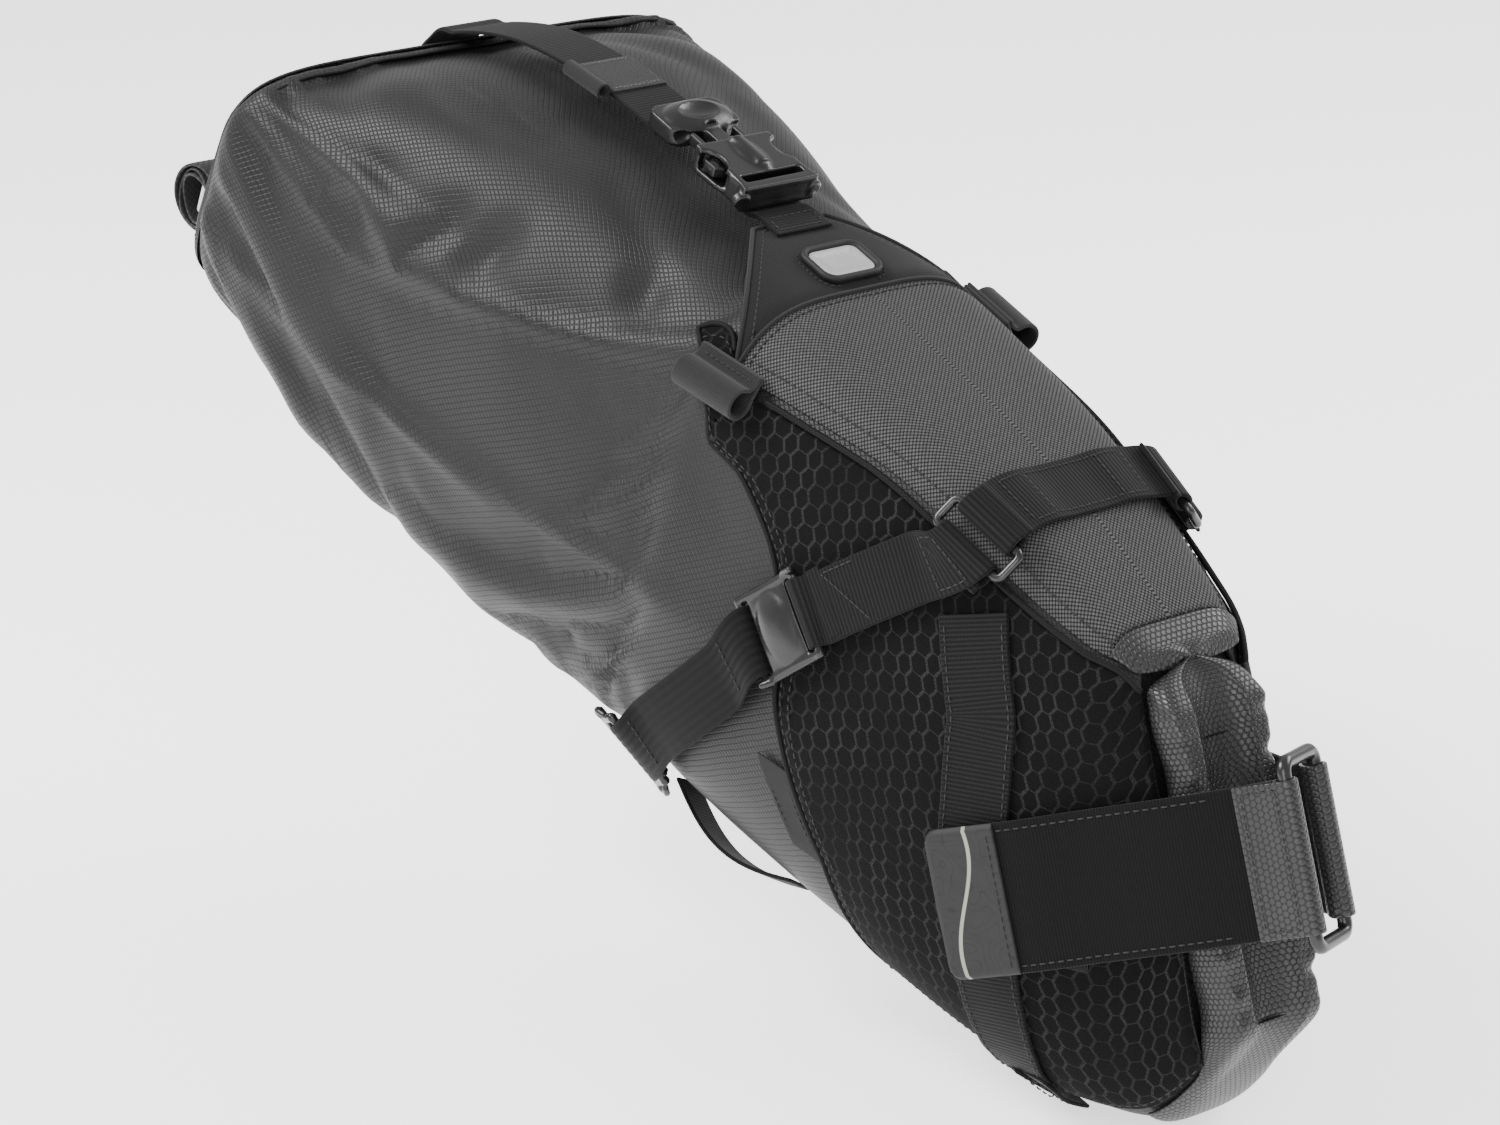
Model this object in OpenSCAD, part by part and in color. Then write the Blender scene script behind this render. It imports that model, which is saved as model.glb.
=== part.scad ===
// Seat pack for a bicycle: a roll-top saddle bag in a sewn harness.
// Frame: +X forward to the seatpost, +Y to the rider's left, +Z up, as it hangs on the bicycle.
// Origin: on the seatpost axis, half way up the seatpost band. Units: mm.

/* [Bag] */
// Width of the soft body, as a share of its normal width
width_factor = 1.0; // [0.96:0.01:1.04]
// Thickness of the coated bag fabric with its lining
wall = 2.0; // [1.6:0.1:2.4]
// Thickness of the sewn harness panels
panel_thickness = 1.2; // [0.8:0.1:1.4]
// Diameter of the rolled closure
roll_diameter = 30; // [24:1:32]

/* [Straps] */
// Width of the webbing
webbing_width = 25; // [20:1:25]
// Thickness of the webbing
webbing_thickness = 1.4; // [1.0:0.1:1.5]
// Height of the seatpost band
band_width = 50; // [44:1:52]
// Thickness of the seatpost band
band_thickness = 2.0; // [1.6:0.1:2.2]

/* [Seatpost] */
// Diameter of the seatpost that the nose pad is shaped for
post_diameter = 27.2; // [26.8:0.1:27.6]
// Lean of the seatpost back from upright
post_lean = 16.3; // [15:0.1:18]
// Radial clearance between the seatpost and the groove
post_clearance = 0.1; // [0.05:0.05:0.15]

/* [Hardware] */
// Wire diameter of the rail rings
ring_wire = 3.2; // [2.8:0.1:3.4]
// Wire diameter of the seatpost ring
post_ring_wire = 5.0; // [4.4:0.1:5.2]
// Height of the side-release buckle
buckle_height = 11; // [10:0.5:12]

/* [Hidden] */

// Cross-sections from the mouth (0) to the nose (10). Each row is top x, top z, bottom x,
// bottom z, half width, height of the widest line as a share, taper of the upper half,
// squareness of the upper half, squareness of the lower half, forward bow.
STATIONS = [
    [-432, 213, -482, 113, 111, 0.42, -0.02, 6.0, 3.6, 0],
    [-382, 216, -430,  72, 107, 0.36, -0.06, 4.5, 3.2, 0],
    [-326, 203, -366,  32,  99, 0.38, -0.10, 4.0, 3.0, 0],
    [-268, 180, -300,  -3,  89, 0.42, -0.16, 3.6, 3.0, 0],
    [-220, 161, -248, -29,  81, 0.46, -0.22, 3.8, 3.2, 0],
    [-173, 141, -194, -53,  75, 0.48, -0.26, 4.5, 3.2, 0],
    [-128, 121, -141, -73,  69, 0.50, -0.30, 5.0, 3.2, 0],
    [ -88,  99,  -96, -90,  61, 0.50, -0.32, 5.0, 3.2, 0],
    [ -60,  80,  -58, -101, 50, 0.50, -0.26, 5.0, 3.2, 1],
    [ -46,  68,  -30, -100, 37, 0.50, -0.16, 6.0, 3.2, 2],
    [ -39,  61,   -8,  -76, 23, 0.50, -0.02, 8.0, 5.0, 3]
];
LAST = len(STATIONS) - 1;
RING_SIDES = 40;

// Half width of the top panel at each station
PANEL_EDGE = [[3.5, 15], [4.45, 53], [5.8, 44], [7, 37], [8.5, 30], [10, 21.5]];
TONGUE_START = 3.55;
TONGUE_SEAM = 4.45;

// Rear edge of the side panels: share of the way down from the top edge, station
SIDE_REAR = [[0, 4.35], [0.27, 4.0], [0.38, 4.75], [0.5, 5.15], [0.75, 5.86], [1, 6.15]];
SIDE_LOW_ANGLE = 238;

// Layers over the bag fabric, each a height above it
SKIN_GAP = 0.8;
WEB_LIFT = SKIN_GAP + panel_thickness + 0.5;
STRAP_LIFT = WEB_LIFT + webbing_thickness + 1.0;

fabric_black = [0.13, 0.13, 0.14];
fabric_grey = [0.30, 0.30, 0.31];
panel_grey = [0.38, 0.38, 0.39];
web_black = [0.10, 0.10, 0.11];
gunmetal = [0.16, 0.16, 0.17];
label_grey = [0.45, 0.45, 0.46];

// ---- the surface of the bag ----

function mix4(p, q, r, w, f) = 0.5 * (2 * q + (r - p) * f + (2 * p - 5 * q + 4 * r - w) * f * f
    + (3 * q - p - 3 * r + w) * f * f * f);

function station(s) =
    let (c = min(max(s, 0), LAST), i = min(floor(c), LAST - 1))
    mix4(STATIONS[max(i - 1, 0)], STATIONS[i], STATIONS[i + 1], STATIONS[min(i + 2, LAST)], c - i);

function signed_pow(a, p) = sign(a) * pow(abs(a), p);

// Point of the surface: station s, angle t (0 left, 90 top, 180 right, 270 bottom)
function skin(s, t) =
    let (q = station(s),
         power = 2 / (sin(t) > 0 ? q[7] : q[8]),
         h = signed_pow(sin(t), power),
         y = q[4] * width_factor * signed_pow(cos(t), power) * (1 + q[6] * max(h, 0)),
         f = q[5] + h * (h > 0 ? 1 - q[5] : q[5]),
         rise = [q[0] - q[2], 0, q[1] - q[3]],
         ahead = [rise[2], 0, -rise[0]] / norm(rise),
         bow = q[9] * (1 - pow(2 * f - 1, 2)))
    [q[2], y, q[3]] + f * rise + bow * ahead;

function unit(v) = v / norm(v);
function along(s, t) = unit(skin(s + 0.03, t) - skin(s - 0.03, t));
function normal(s, t) = unit(cross(skin(s, t + 0.6) - skin(s, t - 0.6), along(s, t)));
function lift(s, t, h) = skin(s, t) + h * normal(s, t);

// Angle of a point on the top at distance y to the right of the centre
function top_angle(s, y) =
    let (q = station(s), share = min(1, abs(y) / (q[4] * width_factor * (1 + q[6]))))
    90 + sign(y) * asin(pow(share, q[7] / 2));

// Angle of a point on the right side at height h: 1 top, 0 widest line, -1 bottom
function side_angle(s, h) =
    let (q = station(s))
    180 - sign(h) * asin(pow(abs(h), (h > 0 ? q[7] : q[8]) / 2));

function edge_angle(s) = top_angle(s, lookup(s, PANEL_EDGE));
function blend(a, b, f) = a + (b - a) * f;

// ---- solids made from grids and paths ----

function strip(rows, cols, start, closed, flip) = [
    for (r = [0:rows - 2], c = [0:cols - (closed ? 1 : 2)])
        let (a = start + r * cols + c,
             b = start + r * cols + (c + 1) % cols,
             d = a + cols,
             e = b + cols)
        each (flip ? [[a, d, b], [b, d, e]] : [[a, b, d], [b, e, d]])
];

function rim(ids_low, ids_high, flip) = [
    for (i = [0:len(ids_low) - 2])
        let (a = ids_low[i], b = ids_low[i + 1], d = ids_high[i], e = ids_high[i + 1])
        each (flip ? [[a, d, b], [b, d, e]] : [[a, b, d], [b, e, d]])
];

// A closed sheet between two grids of points with the same rows and columns
module sheet(low, high) {
    rows = len(low);
    cols = len(low[0]);
    n = rows * cols;
    front = [for (c = [0:cols - 1]) (rows - 1) * cols + c];
    back = [for (c = [0:cols - 1]) c];
    near = [for (r = [0:rows - 1]) r * cols];
    far = [for (r = [0:rows - 1]) r * cols + cols - 1];
    polyhedron(
        points = concat([for (row = low) each row], [for (row = high) each row]),
        faces = concat(
            strip(rows, cols, 0, false, true),
            strip(rows, cols, n, false, false),
            rim(back, [for (i = back) i + n], false),
            rim(front, [for (i = front) i + n], true),
            rim(near, [for (i = near) i + n], true),
            rim(far, [for (i = far) i + n], false)
        )
    );
}

// A sheet on the bag between two heights; at[row][col] is [station, angle]
module cover(at, low, high) {
    sheet([for (row = at) [for (p = row) lift(p[0], p[1], high)]],
          [for (row = at) [for (p = row) lift(p[0], p[1], low)]]);
}

// A flat strap along a path of [point, upward normal], or [point, upward normal, sideways]
module ribbon(path, width, thickness) {
    last = len(path) - 1;
    tangents = [for (i = [0:last]) unit(path[min(i + 1, last)][0] - path[max(i - 1, 0)][0])];
    rings = [for (i = [0:last])
        let (across = len(path[i]) > 2 ? path[i][2] : cross(tangents[i], path[i][1]),
             side = unit(across) * width / 2,
             up = path[i][1] * thickness,
             p = path[i][0])
        [p - side, p + side, p + side + up, p - side + up]];
    tube(rings);
}

// A closed tube through rings of points
module tube(rings) {
    sides = len(rings[0]);
    count = len(rings);
    polyhedron(
        points = [for (ring = rings) each ring],
        faces = concat(
            strip(count, sides, 0, true, false),
            [[for (i = [sides - 1:-1:0]) i]],
            [[for (i = [0:sides - 1]) (count - 1) * sides + i]]
        )
    );
}

// A round cord along a path of [point, normal]
module cord(path, radius) {
    last = len(path) - 1;
    tangents = [for (i = [0:last]) unit(path[min(i + 1, last)][0] - path[max(i - 1, 0)][0])];
    tube([for (i = [0:last])
        let (up = unit(path[i][1]), side = unit(cross(tangents[i], up)))
        [for (a = [0:45:315]) path[i][0] + radius * (cos(a) * side + sin(a) * up)]]);
}

// Straight runs over the right side between points [station, height], as [point, normal]
function side_path(stops, steps, height) = [
    for (i = [0:len(stops) - 2], k = [0:steps - (i == len(stops) - 2 ? 0 : 1)])
        let (p = blend(stops[i], stops[i + 1], k / steps), t = side_angle(p[0], p[1]))
        [lift(p[0], t, height), normal(p[0], t)]
];

// Places children on the surface: x forward along the bag, z away from it
module on_skin(s, t, height) {
    z = normal(s, t);
    y = unit(cross(z, along(s, t)));
    x = cross(y, z);
    o = lift(s, t, height);
    multmatrix([[x[0], y[0], z[0], o[0]], [x[1], y[1], z[1], o[1]], [x[2], y[2], z[2], o[2]]])
        children();
}

// Places children with z along the seatpost and x forward
module on_post() {
    rotate([0, -post_lean, 0])
        children();
}

module left() {
    mirror([0, 1, 0])
        children();
}

// ---- soft body ----

RING_STATIONS = concat([0, 0.25], [for (s = [0.5:0.5:4]) s], [4.25], [for (s = [4.5:0.5:LAST]) s]);
RING_STEP = 360 / RING_SIDES;

function ring(s, height) = [for (i = [0:RING_SIDES - 1]) lift(s, 90 + i * RING_STEP, height)];

// Faces across a ring, joining each point to its mirror image
function across(start, flip) = [
    for (i = [0:RING_SIDES / 2 - 1])
        let (a = start + i, b = a + 1, d = start + RING_SIDES - 1 - i, e = i == 0 ? a : d + 1)
        each concat(i == 0 ? [] : [flip ? [a, e, b] : [a, b, e]],
                    b == d ? [] : [flip ? [b, e, d] : [b, d, e]])
];

// Fabric panel of the bag between two of its corner seams
module bag_panel(from) {
    seam_gap = 0.02;
    seam_angles = [for (i = [0:10]) from + i * RING_STEP + (i == 0 ? seam_gap : i == 10 ? -seam_gap : 0)];
    color(fabric_grey)
        cover([for (s = RING_STATIONS) [for (t = seam_angles) [s, t]]], -wall, 0);
}

nose_wall_depth = 0.4;

// End of the bag at the nose, inside the four panels
module bag_nose() {
    color(fabric_grey)
        polyhedron(
            points = concat(ring(LAST - nose_wall_depth, -wall - 0.15), ring(LAST, -wall - 0.15)),
            faces = concat(strip(2, RING_SIDES, 0, true, true), across(0, false), across(RING_SIDES, true))
        );
}

// Stiff binding inside the mouth
module mouth_hem() {
    low = -wall - 1.7;
    high = -wall - 0.5;
    rows = [for (s = [0.02, 0.22]) [for (h = [low, high]) ring(s, h)]];
    loop = [for (i = [0:RING_SIDES]) i % RING_SIDES];
    color(web_black)
        polyhedron(
            points = [for (row = rows, r = row) each r],
            faces = concat(
                rim(loop, [for (i = loop) i + 2 * RING_SIDES], false),
                rim([for (i = loop) i + RING_SIDES], [for (i = loop) i + 3 * RING_SIDES], true),
                rim(loop, [for (i = loop) i + RING_SIDES], true),
                rim([for (i = loop) i + 2 * RING_SIDES], [for (i = loop) i + 3 * RING_SIDES], false)
            )
        );
}

SIDE_ROWS = 20;
SIDE_COLS = 15;
SIDE_WIDEST = 0.6;

// Angle of a point of the side panel, at a share of the way down from its top edge
function side_panel_angle(s, w) =
    w < SIDE_WIDEST ? blend(edge_angle(s) + 2.5, 180, pow(w / SIDE_WIDEST, 1.4))
        : blend(180, SIDE_LOW_ANGLE, (w - SIDE_WIDEST) / (1 - SIDE_WIDEST));

module side_panel() {
    at = [for (r = [0:SIDE_ROWS]) [for (c = [0:SIDE_COLS])
        let (w = c / SIDE_COLS,
             s = blend(lookup(w, SIDE_REAR), LAST, r / SIDE_ROWS))
        [s, side_panel_angle(s, w)]]];
    color(fabric_black)
        cover(at, SKIN_GAP, SKIN_GAP + panel_thickness);
}

function top_grid(s0, s1, rows, cols, inset) = [
    for (r = [0:rows]) [for (c = [0:cols])
        let (s = blend(s0, s1, r / rows), half = lookup(s, PANEL_EDGE) - inset)
        [s, top_angle(s, blend(-half, half, c / cols))]]
];

module top_panel() {
    color(panel_grey)
        cover(top_grid(TONGUE_SEAM, LAST - 0.05, 20, 16, 1), SKIN_GAP, SKIN_GAP + panel_thickness);
}

module tongue_panel() {
    color(fabric_black)
        cover(top_grid(TONGUE_START, TONGUE_SEAM - 0.02, 8, 12, 1), SKIN_GAP, SKIN_GAP + panel_thickness);
}

piping_radius = 1.1;
piping_start = 4.8;

// Piping along the seam between the top panel and a side panel
module piping() {
    color(web_black)
        cord([for (i = [0:30])
            let (s = blend(piping_start, LAST - 0.05, i / 30), t = edge_angle(s) + 1)
            [lift(s, t, SKIN_GAP + panel_thickness + piping_radius + 0.2), normal(s, t)]], piping_radius);
}

// ---- nose ----

groove_radius = post_diameter / 2 + post_clearance;
pad_front = -6.6;
pad_half_width = 20.5;
pad_low = -58;
pad_high = 42;
pad_chamfer = 5;

// Back of the pad, which follows the nose panel: [forward, up the seatpost]
PAD_BACK = [[-17.9, pad_high], [-19.4, 0], [-24.9, pad_low]];

// Padded nose piece with a groove that seats the seatpost
module nose_pad() {
    color(panel_grey)
        on_post()
            difference() {
                rotate([90, 0, 0])
                    linear_extrude(2 * pad_half_width, center = true)
                        polygon(concat(PAD_BACK, [[pad_front, pad_low], [pad_front, pad_high]]));
                for (side = [-1, 1])
                    translate([pad_front, side * pad_half_width, 0])
                        rotate([0, 0, 45])
                            cube([pad_chamfer * sqrt(2), pad_chamfer * sqrt(2), 3 * pad_high], center = true);
                translate([0, 0, pad_low - 1])
                    cylinder(r = groove_radius, h = pad_high - pad_low + 2, $fn = 96);
            }
}

// Coated panel that closes the nose behind the pad
module nose_panel() {
    ahead = [cos(post_lean - 3), 0, sin(post_lean - 3)];
    at = [for (r = [0:8]) [for (c = [0:6])
        let (p = skin(LAST, side_angle(LAST, blend(0.86, -0.86, r / 8))))
        [p[0], blend(p[1], -p[1], c / 6), p[2]]]];
    color(panel_grey)
        sheet([for (row = at) [for (p = row) p + 0.4 * ahead]],
              [for (row = at) [for (p = row) p + (0.4 + panel_thickness) * ahead]]);
}

// Stiff plate inside the nose
module nose_stiffener() {
    color("gainsboro")
        on_post()
            translate([-41, -18, -45])
                cube([1.5, 36, 80]);
}

// Stiff sheet that keeps the belly of the harness flat
module base_stiffener() {
    at = [for (r = [0:12]) [for (c = [0:6]) [blend(4.6, 8.4, r / 12), blend(254, 286, c / 6)]]];
    color("gainsboro")
        cover(at, -wall - 2.0, -wall - 0.5);
}

// ---- badge and label, both blank ----

BADGE_STATION = 4.15;
badge_length = 21;
badge_width = 27;
badge_corner = 6;

module badge_outline(margin) {
    half_x = badge_length / 2 - badge_corner;
    half_y = badge_width / 2 - badge_corner;
    radius = badge_corner - margin;
    for (x = [-half_x, half_x], y = [-half_y, half_y])
        translate([x, y])
            circle(r = radius, $fn = 48);
    square([2 * half_x, 2 * (half_y + radius)], center = true);
    square([2 * (half_x + radius), 2 * half_y], center = true);
}

module badge_rim() {
    color(web_black)
        on_skin(BADGE_STATION, 90, SKIN_GAP + panel_thickness + 0.6)
            linear_extrude(2.6)
                difference() {
                    badge_outline(0);
                    badge_outline(2.6);
                }
}

module badge_insert() {
    color("silver")
        on_skin(BADGE_STATION, 90, SKIN_GAP + panel_thickness + 0.6)
            linear_extrude(1.6)
                badge_outline(2.8);
}

// Plain woven label sewn into the rear seam of the right side panel
module side_label() {
    at = [for (w = [0.54, SIDE_WIDEST, 0.64, 0.68, 0.72, 0.76]) [for (c = [0:2])
        let (s = lookup(w, SIDE_REAR) - 0.05 - 0.11 * c)
        [s, side_panel_angle(s, w)]]];
    color(label_grey)
        cover(at, SKIN_GAP, SKIN_GAP + 0.9);
}

// ---- rings, straps and hooks that hold the saddle rails ----

RING_STATION = 6.85;
RING_LIFT = 8;
ring_gap = 11;
bar_clearance = 0.35;
fold_radius = ring_wire / 2 + bar_clearance + webbing_thickness;

// Frame on the surface as [origin, x, y, z]
function frame_at(s, t, height) =
    let (z = normal(s, t), y = unit(cross(z, along(s, t))))
    [lift(s, t, height), cross(y, z), y, z];

function to_world(f, p) = f[0] + p[0] * f[1] + p[1] * f[2] + p[2] * f[3];
function flip_y(p) = [p[0], -p[1], p[2]];

// Where webbing leaves a fold, half in the wall of the fold and level with its bar
wall_bite = 0.5;
function fold_exit(f, x, y) = to_world(f, [x, y, -webbing_thickness / 2]);

// The same frame turned so that x runs up the strap
function strap_frame(s, h, height) =
    let (t = side_angle(s, h), z = normal(s, t),
         ahead = lift(HOOK_STOPS[0][0], side_angle(HOOK_STOPS[0][0], HOOK_STOPS[0][1]), 0)
             - lift(HOOK_STOPS[2][0], side_angle(HOOK_STOPS[2][0], HOOK_STOPS[2][1]), 0),
         y = unit(cross(z, ahead)))
    [lift(s, t, height), cross(y, z), y, z];

module on_frame(f) {
    multmatrix([[f[1][0], f[2][0], f[3][0], f[0][0]],
                [f[1][1], f[2][1], f[3][1], f[0][1]],
                [f[1][2], f[2][2], f[3][2], f[0][2]]])
        children();
}

ring_frame = frame_at(RING_STATION, edge_angle(RING_STATION) - 8, RING_LIFT);

// A round bar along x
module bar(length, radius) {
    rotate([0, 90, 0])
        cylinder(r = radius, h = length, center = true, $fn = 48);
}

// A rectangular wire ring: bars along x at y = +-gap/2
module wire_ring(length, gap, wire) {
    corner = wire * 0.75;
    bite = 0.2;
    corner_wire = 0.96 * wire;
    for (side = [-1, 1])
        translate([0, side * gap / 2, 0])
            bar(length, wire / 2);
    for (side = [-1, 1])
        translate([side * (length / 2 + corner - bite), 0, 0])
            rotate([90, 0, 0])
                cylinder(r = wire / 2, h = gap - 2 * corner + 2 * bite, center = true, $fn = 48);
    for (x = [0, 1], y = [0, 1])
        mirror([x, 0, 0])
            mirror([0, y, 0])
                translate([length / 2 - bite, gap / 2 - corner, 0])
                    rotate_extrude(angle = 90, $fn = 48)
                        translate([corner, 0])
                            circle(d = corner_wire, $fn = 48);
}

// Webbing folded round a bar: a tube along x
module fold(length, inner) {
    difference() {
        bar(length, inner + webbing_thickness);
        bar(length + 2, inner);
    }
}

module rail_ring() {
    color(gunmetal)
        on_frame(ring_frame)
            wire_ring(webbing_width + 2, ring_gap, ring_wire);
}

// Webbing sewn across the top panel, folded round a ring at each end
module cross_webbing() {
    inner = ring_wire / 2 + bar_clearance;
    end = [[fold_exit(ring_frame, 0, ring_gap / 2 + fold_radius + 0.2), ring_frame[3], ring_frame[1]]];
    half = [for (y = [27:-9:9]) let (t = top_angle(RING_STATION, y))
        [lift(RING_STATION, t, WEB_LIFT), normal(RING_STATION, t)]];
    right = concat(end, half);
    middle = [[lift(RING_STATION, 90, WEB_LIFT), normal(RING_STATION, 90)]];
    path = concat(right, middle,
        [for (i = [len(right) - 1:-1:0]) [for (v = right[i]) flip_y(v)]]);
    color(web_black)
        union() {
            ribbon(path, webbing_width - 1, webbing_thickness);
            on_frame(ring_frame)
                translate([0, ring_gap / 2, 0])
                    fold(webbing_width, inner);
            left()
                on_frame(ring_frame)
                    translate([0, ring_gap / 2, 0])
                        fold(webbing_width, inner);
        }
}

// Stops of the rail strap on the side as [station, height]: ring, hook plate, lower hook
HOOK_STOPS = [[6.45, 0.70], [5.45, 0.22], [4.05, -0.74]];
plate_length = 26;
plate_thickness = 3;
arm_width = 2.6;

plate_frame = strap_frame(HOOK_STOPS[1][0], HOOK_STOPS[1][1], STRAP_LIFT + 1.2);
lower_frame = strap_frame(HOOK_STOPS[2][0], HOOK_STOPS[2][1], STRAP_LIFT + 0.6);

module fold_across(length, inner) {
    rotate([0, 0, 90])
        fold(length, inner);
}

module rail_strap() {
    inner = ring_wire / 2 + bar_clearance;
    start = fold_exit(ring_frame, 0, -ring_gap / 2 - fold_radius - 0.2);
    run = side_path([HOOK_STOPS[0], blend(HOOK_STOPS[1], HOOK_STOPS[0], 0.28)], 6, STRAP_LIFT + 0.6);
    finish = fold_exit(plate_frame, plate_length / 2 + inner + wall_bite, 0);
    path = concat([[start, ring_frame[3], -ring_frame[1]]], run, [[finish, plate_frame[3], plate_frame[2]]]);
    color(web_black)
        union() {
            ribbon(path, webbing_width - 1, webbing_thickness);
            on_frame(ring_frame)
                translate([0, -ring_gap / 2, 0])
                    fold(webbing_width - 1, inner);
            on_frame(plate_frame)
                translate([plate_length / 2, 0, 0])
                    fold_across(webbing_width - 1, inner);
        }
}

// Plate that joins the webbing to the elastic, with a bar at each end
module hook_plate() {
    half = webbing_width / 2 + 1 + arm_width;
    color(gunmetal)
        on_frame(plate_frame)
            union() {
                translate([0, 0, -plate_thickness / 2])
                    linear_extrude(plate_thickness)
                        difference() {
                            square([plate_length + 2, 2 * half], center = true);
                            for (side = [-1, 1])
                                translate([side * (plate_length / 2 + 0.5), 0])
                                    square([2 * fold_radius + 1.6, webbing_width + 2], center = true);
                        }
                for (side = [-1, 1])
                    translate([side * plate_length / 2, 0, 0])
                        rotate([90, 0, 0])
                            cylinder(r = ring_wire / 2, h = 2 * half - 1, center = true, $fn = 48);
            }
}

module elastic() {
    inner = ring_wire / 2 + bar_clearance;
    start = fold_exit(plate_frame, -plate_length / 2 - inner - wall_bite, 0);
    run = side_path([blend(HOOK_STOPS[1], HOOK_STOPS[2], 0.22), blend(HOOK_STOPS[2], HOOK_STOPS[1], 0.12)],
                    7, STRAP_LIFT + 0.4);
    finish = fold_exit(lower_frame, 6 + inner + wall_bite, 0);
    color(web_black)
        union() {
            ribbon(concat([[start, plate_frame[3], plate_frame[2]]], run,
                          [[finish, lower_frame[3], lower_frame[2]]]),
                   webbing_width - 1, webbing_thickness);
            on_frame(plate_frame)
                translate([-plate_length / 2, 0, 0])
                    fold_across(webbing_width - 1, inner);
            on_frame(lower_frame)
                translate([6, 0, 0])
                    fold_across(webbing_width - 1, inner);
        }
}

// Hook at the lower end of the elastic, with a bar and two ears
module lower_hook() {
    half = webbing_width / 2 + 1 + arm_width;
    color(gunmetal)
        on_frame(lower_frame)
            union() {
                translate([0, 0, -plate_thickness / 2])
                    linear_extrude(plate_thickness)
                        difference() {
                            union() {
                                translate([-7, -half])
                                    square([15, 2 * half]);
                                translate([-7, -half - 4])
                                    square([5, 2 * half + 8]);
                            }
                            translate([6.5 - fold_radius - 0.8, -webbing_width / 2 - 1])
                                square([2 * fold_radius + 6, webbing_width + 2]);
                        }
                translate([6, 0, 0])
                    rotate([90, 0, 0])
                        cylinder(r = ring_wire / 2, h = 2 * half - 1, center = true, $fn = 48);
            }
}

// ---- webbing sewn to the harness ----

SIDE_WEB_STOPS = [[7.02, 0.70], [7.3, 0.42], [7.4, 0], [7.55, -0.6], [7.62, -0.93]];

// Upright webbing on each side, from the ring to under the belly
module side_webbing() {
    under = [for (t = [236, 246, 256]) [lift(7.64, t, WEB_LIFT), normal(7.64, t)]];
    color(web_black)
        ribbon(concat(side_path(SIDE_WEB_STOPS, 4, WEB_LIFT), under), webbing_width, webbing_thickness);
}

KEEPER_STATION = 4.42;
keeper_inner = 4.6;

// Webbing rolled into a loop that holds a cord along the top edge
module keeper_loop() {
    color(web_black)
        on_skin(KEEPER_STATION, edge_angle(KEEPER_STATION) + 8, SKIN_GAP + panel_thickness + 0.6)
            rotate([0, 90, 0])
                linear_extrude(webbing_width + 3, center = true)
                    difference() {
                        union() {
                            translate([-keeper_inner - webbing_thickness, 0])
                                circle(r = keeper_inner + webbing_thickness, $fn = 64);
                            translate([-webbing_thickness - 0.6, -2])
                                square([webbing_thickness + 0.4, 13]);
                        }
                        translate([-keeper_inner - webbing_thickness, 0])
                            circle(r = keeper_inner, $fn = 64);
                    }
}

loop_rise = 8;
loop_width = 14;

// Webbing loop under each side that a hook or cord clips to
module hook_loop() {
    path = [for (i = [0:10])
        let (s = blend(4.2, 5.25, i / 10), rise = loop_rise * sin(180 * i / 10))
        [lift(s, 237, 0.6 + rise), normal(s, 237)]];
    color(web_black)
        ribbon(path, loop_width, webbing_thickness);
}

// Loop-fastener patch that the seatpost band closes on
module band_landing() {
    at = [for (r = [0:6]) [for (c = [0:6])
        [blend(7.98, 8.7, r / 6), side_angle(8, blend(0.2, -0.3, c / 6))]]];
    color(fabric_black)
        cover(at, SKIN_GAP + panel_thickness + 0.3, SKIN_GAP + panel_thickness + 1.1);
}

// ---- seatpost ring and band, drawn in the seatpost's own frame ----

ring_reach = 21.5;
NEAR_BAR = ring_reach * [cos(-12), sin(-12)];
FAR_BAR = ring_reach * [cos(58), sin(58)];
post_bar_hole = post_ring_wire / 2 + bar_clearance;
post_fold = post_bar_hole + band_thickness;

// Outline of a flat strap through points, seen from above
function strap_outline(points, inner, outer) =
    let (last = len(points) - 1,
         normals = [for (i = [0:last])
             let (d = unit(points[min(i + 1, last)] - points[max(i - 1, 0)])) [d[1], -d[0]]])
    concat([for (i = [0:last]) points[i] + inner * normals[i]],
           [for (i = [last:-1:0]) points[i] + outer * normals[i]]);

module post_strap(points, inner, outer, height) {
    translate([0, 0, -height / 2])
        linear_extrude(height)
            polygon(strap_outline(points, inner, outer));
}

module post_fold_tube(at) {
    translate([at[0], at[1], -band_width / 2])
        linear_extrude(band_width)
            difference() {
                circle(r = post_fold, $fn = 64);
                circle(r = post_bar_hole, $fn = 64);
            }
}

BAND_POINTS = [[-84, -67.5], [-57, -56.5], [-38, -44], [-11, -27.7]];
TAB_POINTS = [BAND_POINTS[0] + [-2.2, -0.9], BAND_POINTS[0] + 0.8 * (BAND_POINTS[1] - BAND_POINTS[0])];
band_line = unit(BAND_POINTS[3] - NEAR_BAR);

module seatpost_ring() {
    middle = (NEAR_BAR + FAR_BAR) / 2;
    chord = FAR_BAR - NEAR_BAR;
    up = [0, 0, 1];
    y = [chord[0], chord[1], 0] / norm(chord);
    color(gunmetal)
        on_post()
            on_frame([[middle[0], middle[1], 0], up, y, cross(up, y)])
                wire_ring(band_width + 4, norm(chord), post_ring_wire);
}

module seatpost_band() {
    color(web_black)
        on_post()
            post_strap(concat(BAND_POINTS, [NEAR_BAR + (post_fold + 0.3) * band_line]),
                       -band_thickness / 2, band_thickness / 2, band_width);
}

wrap_length = 17;

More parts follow.
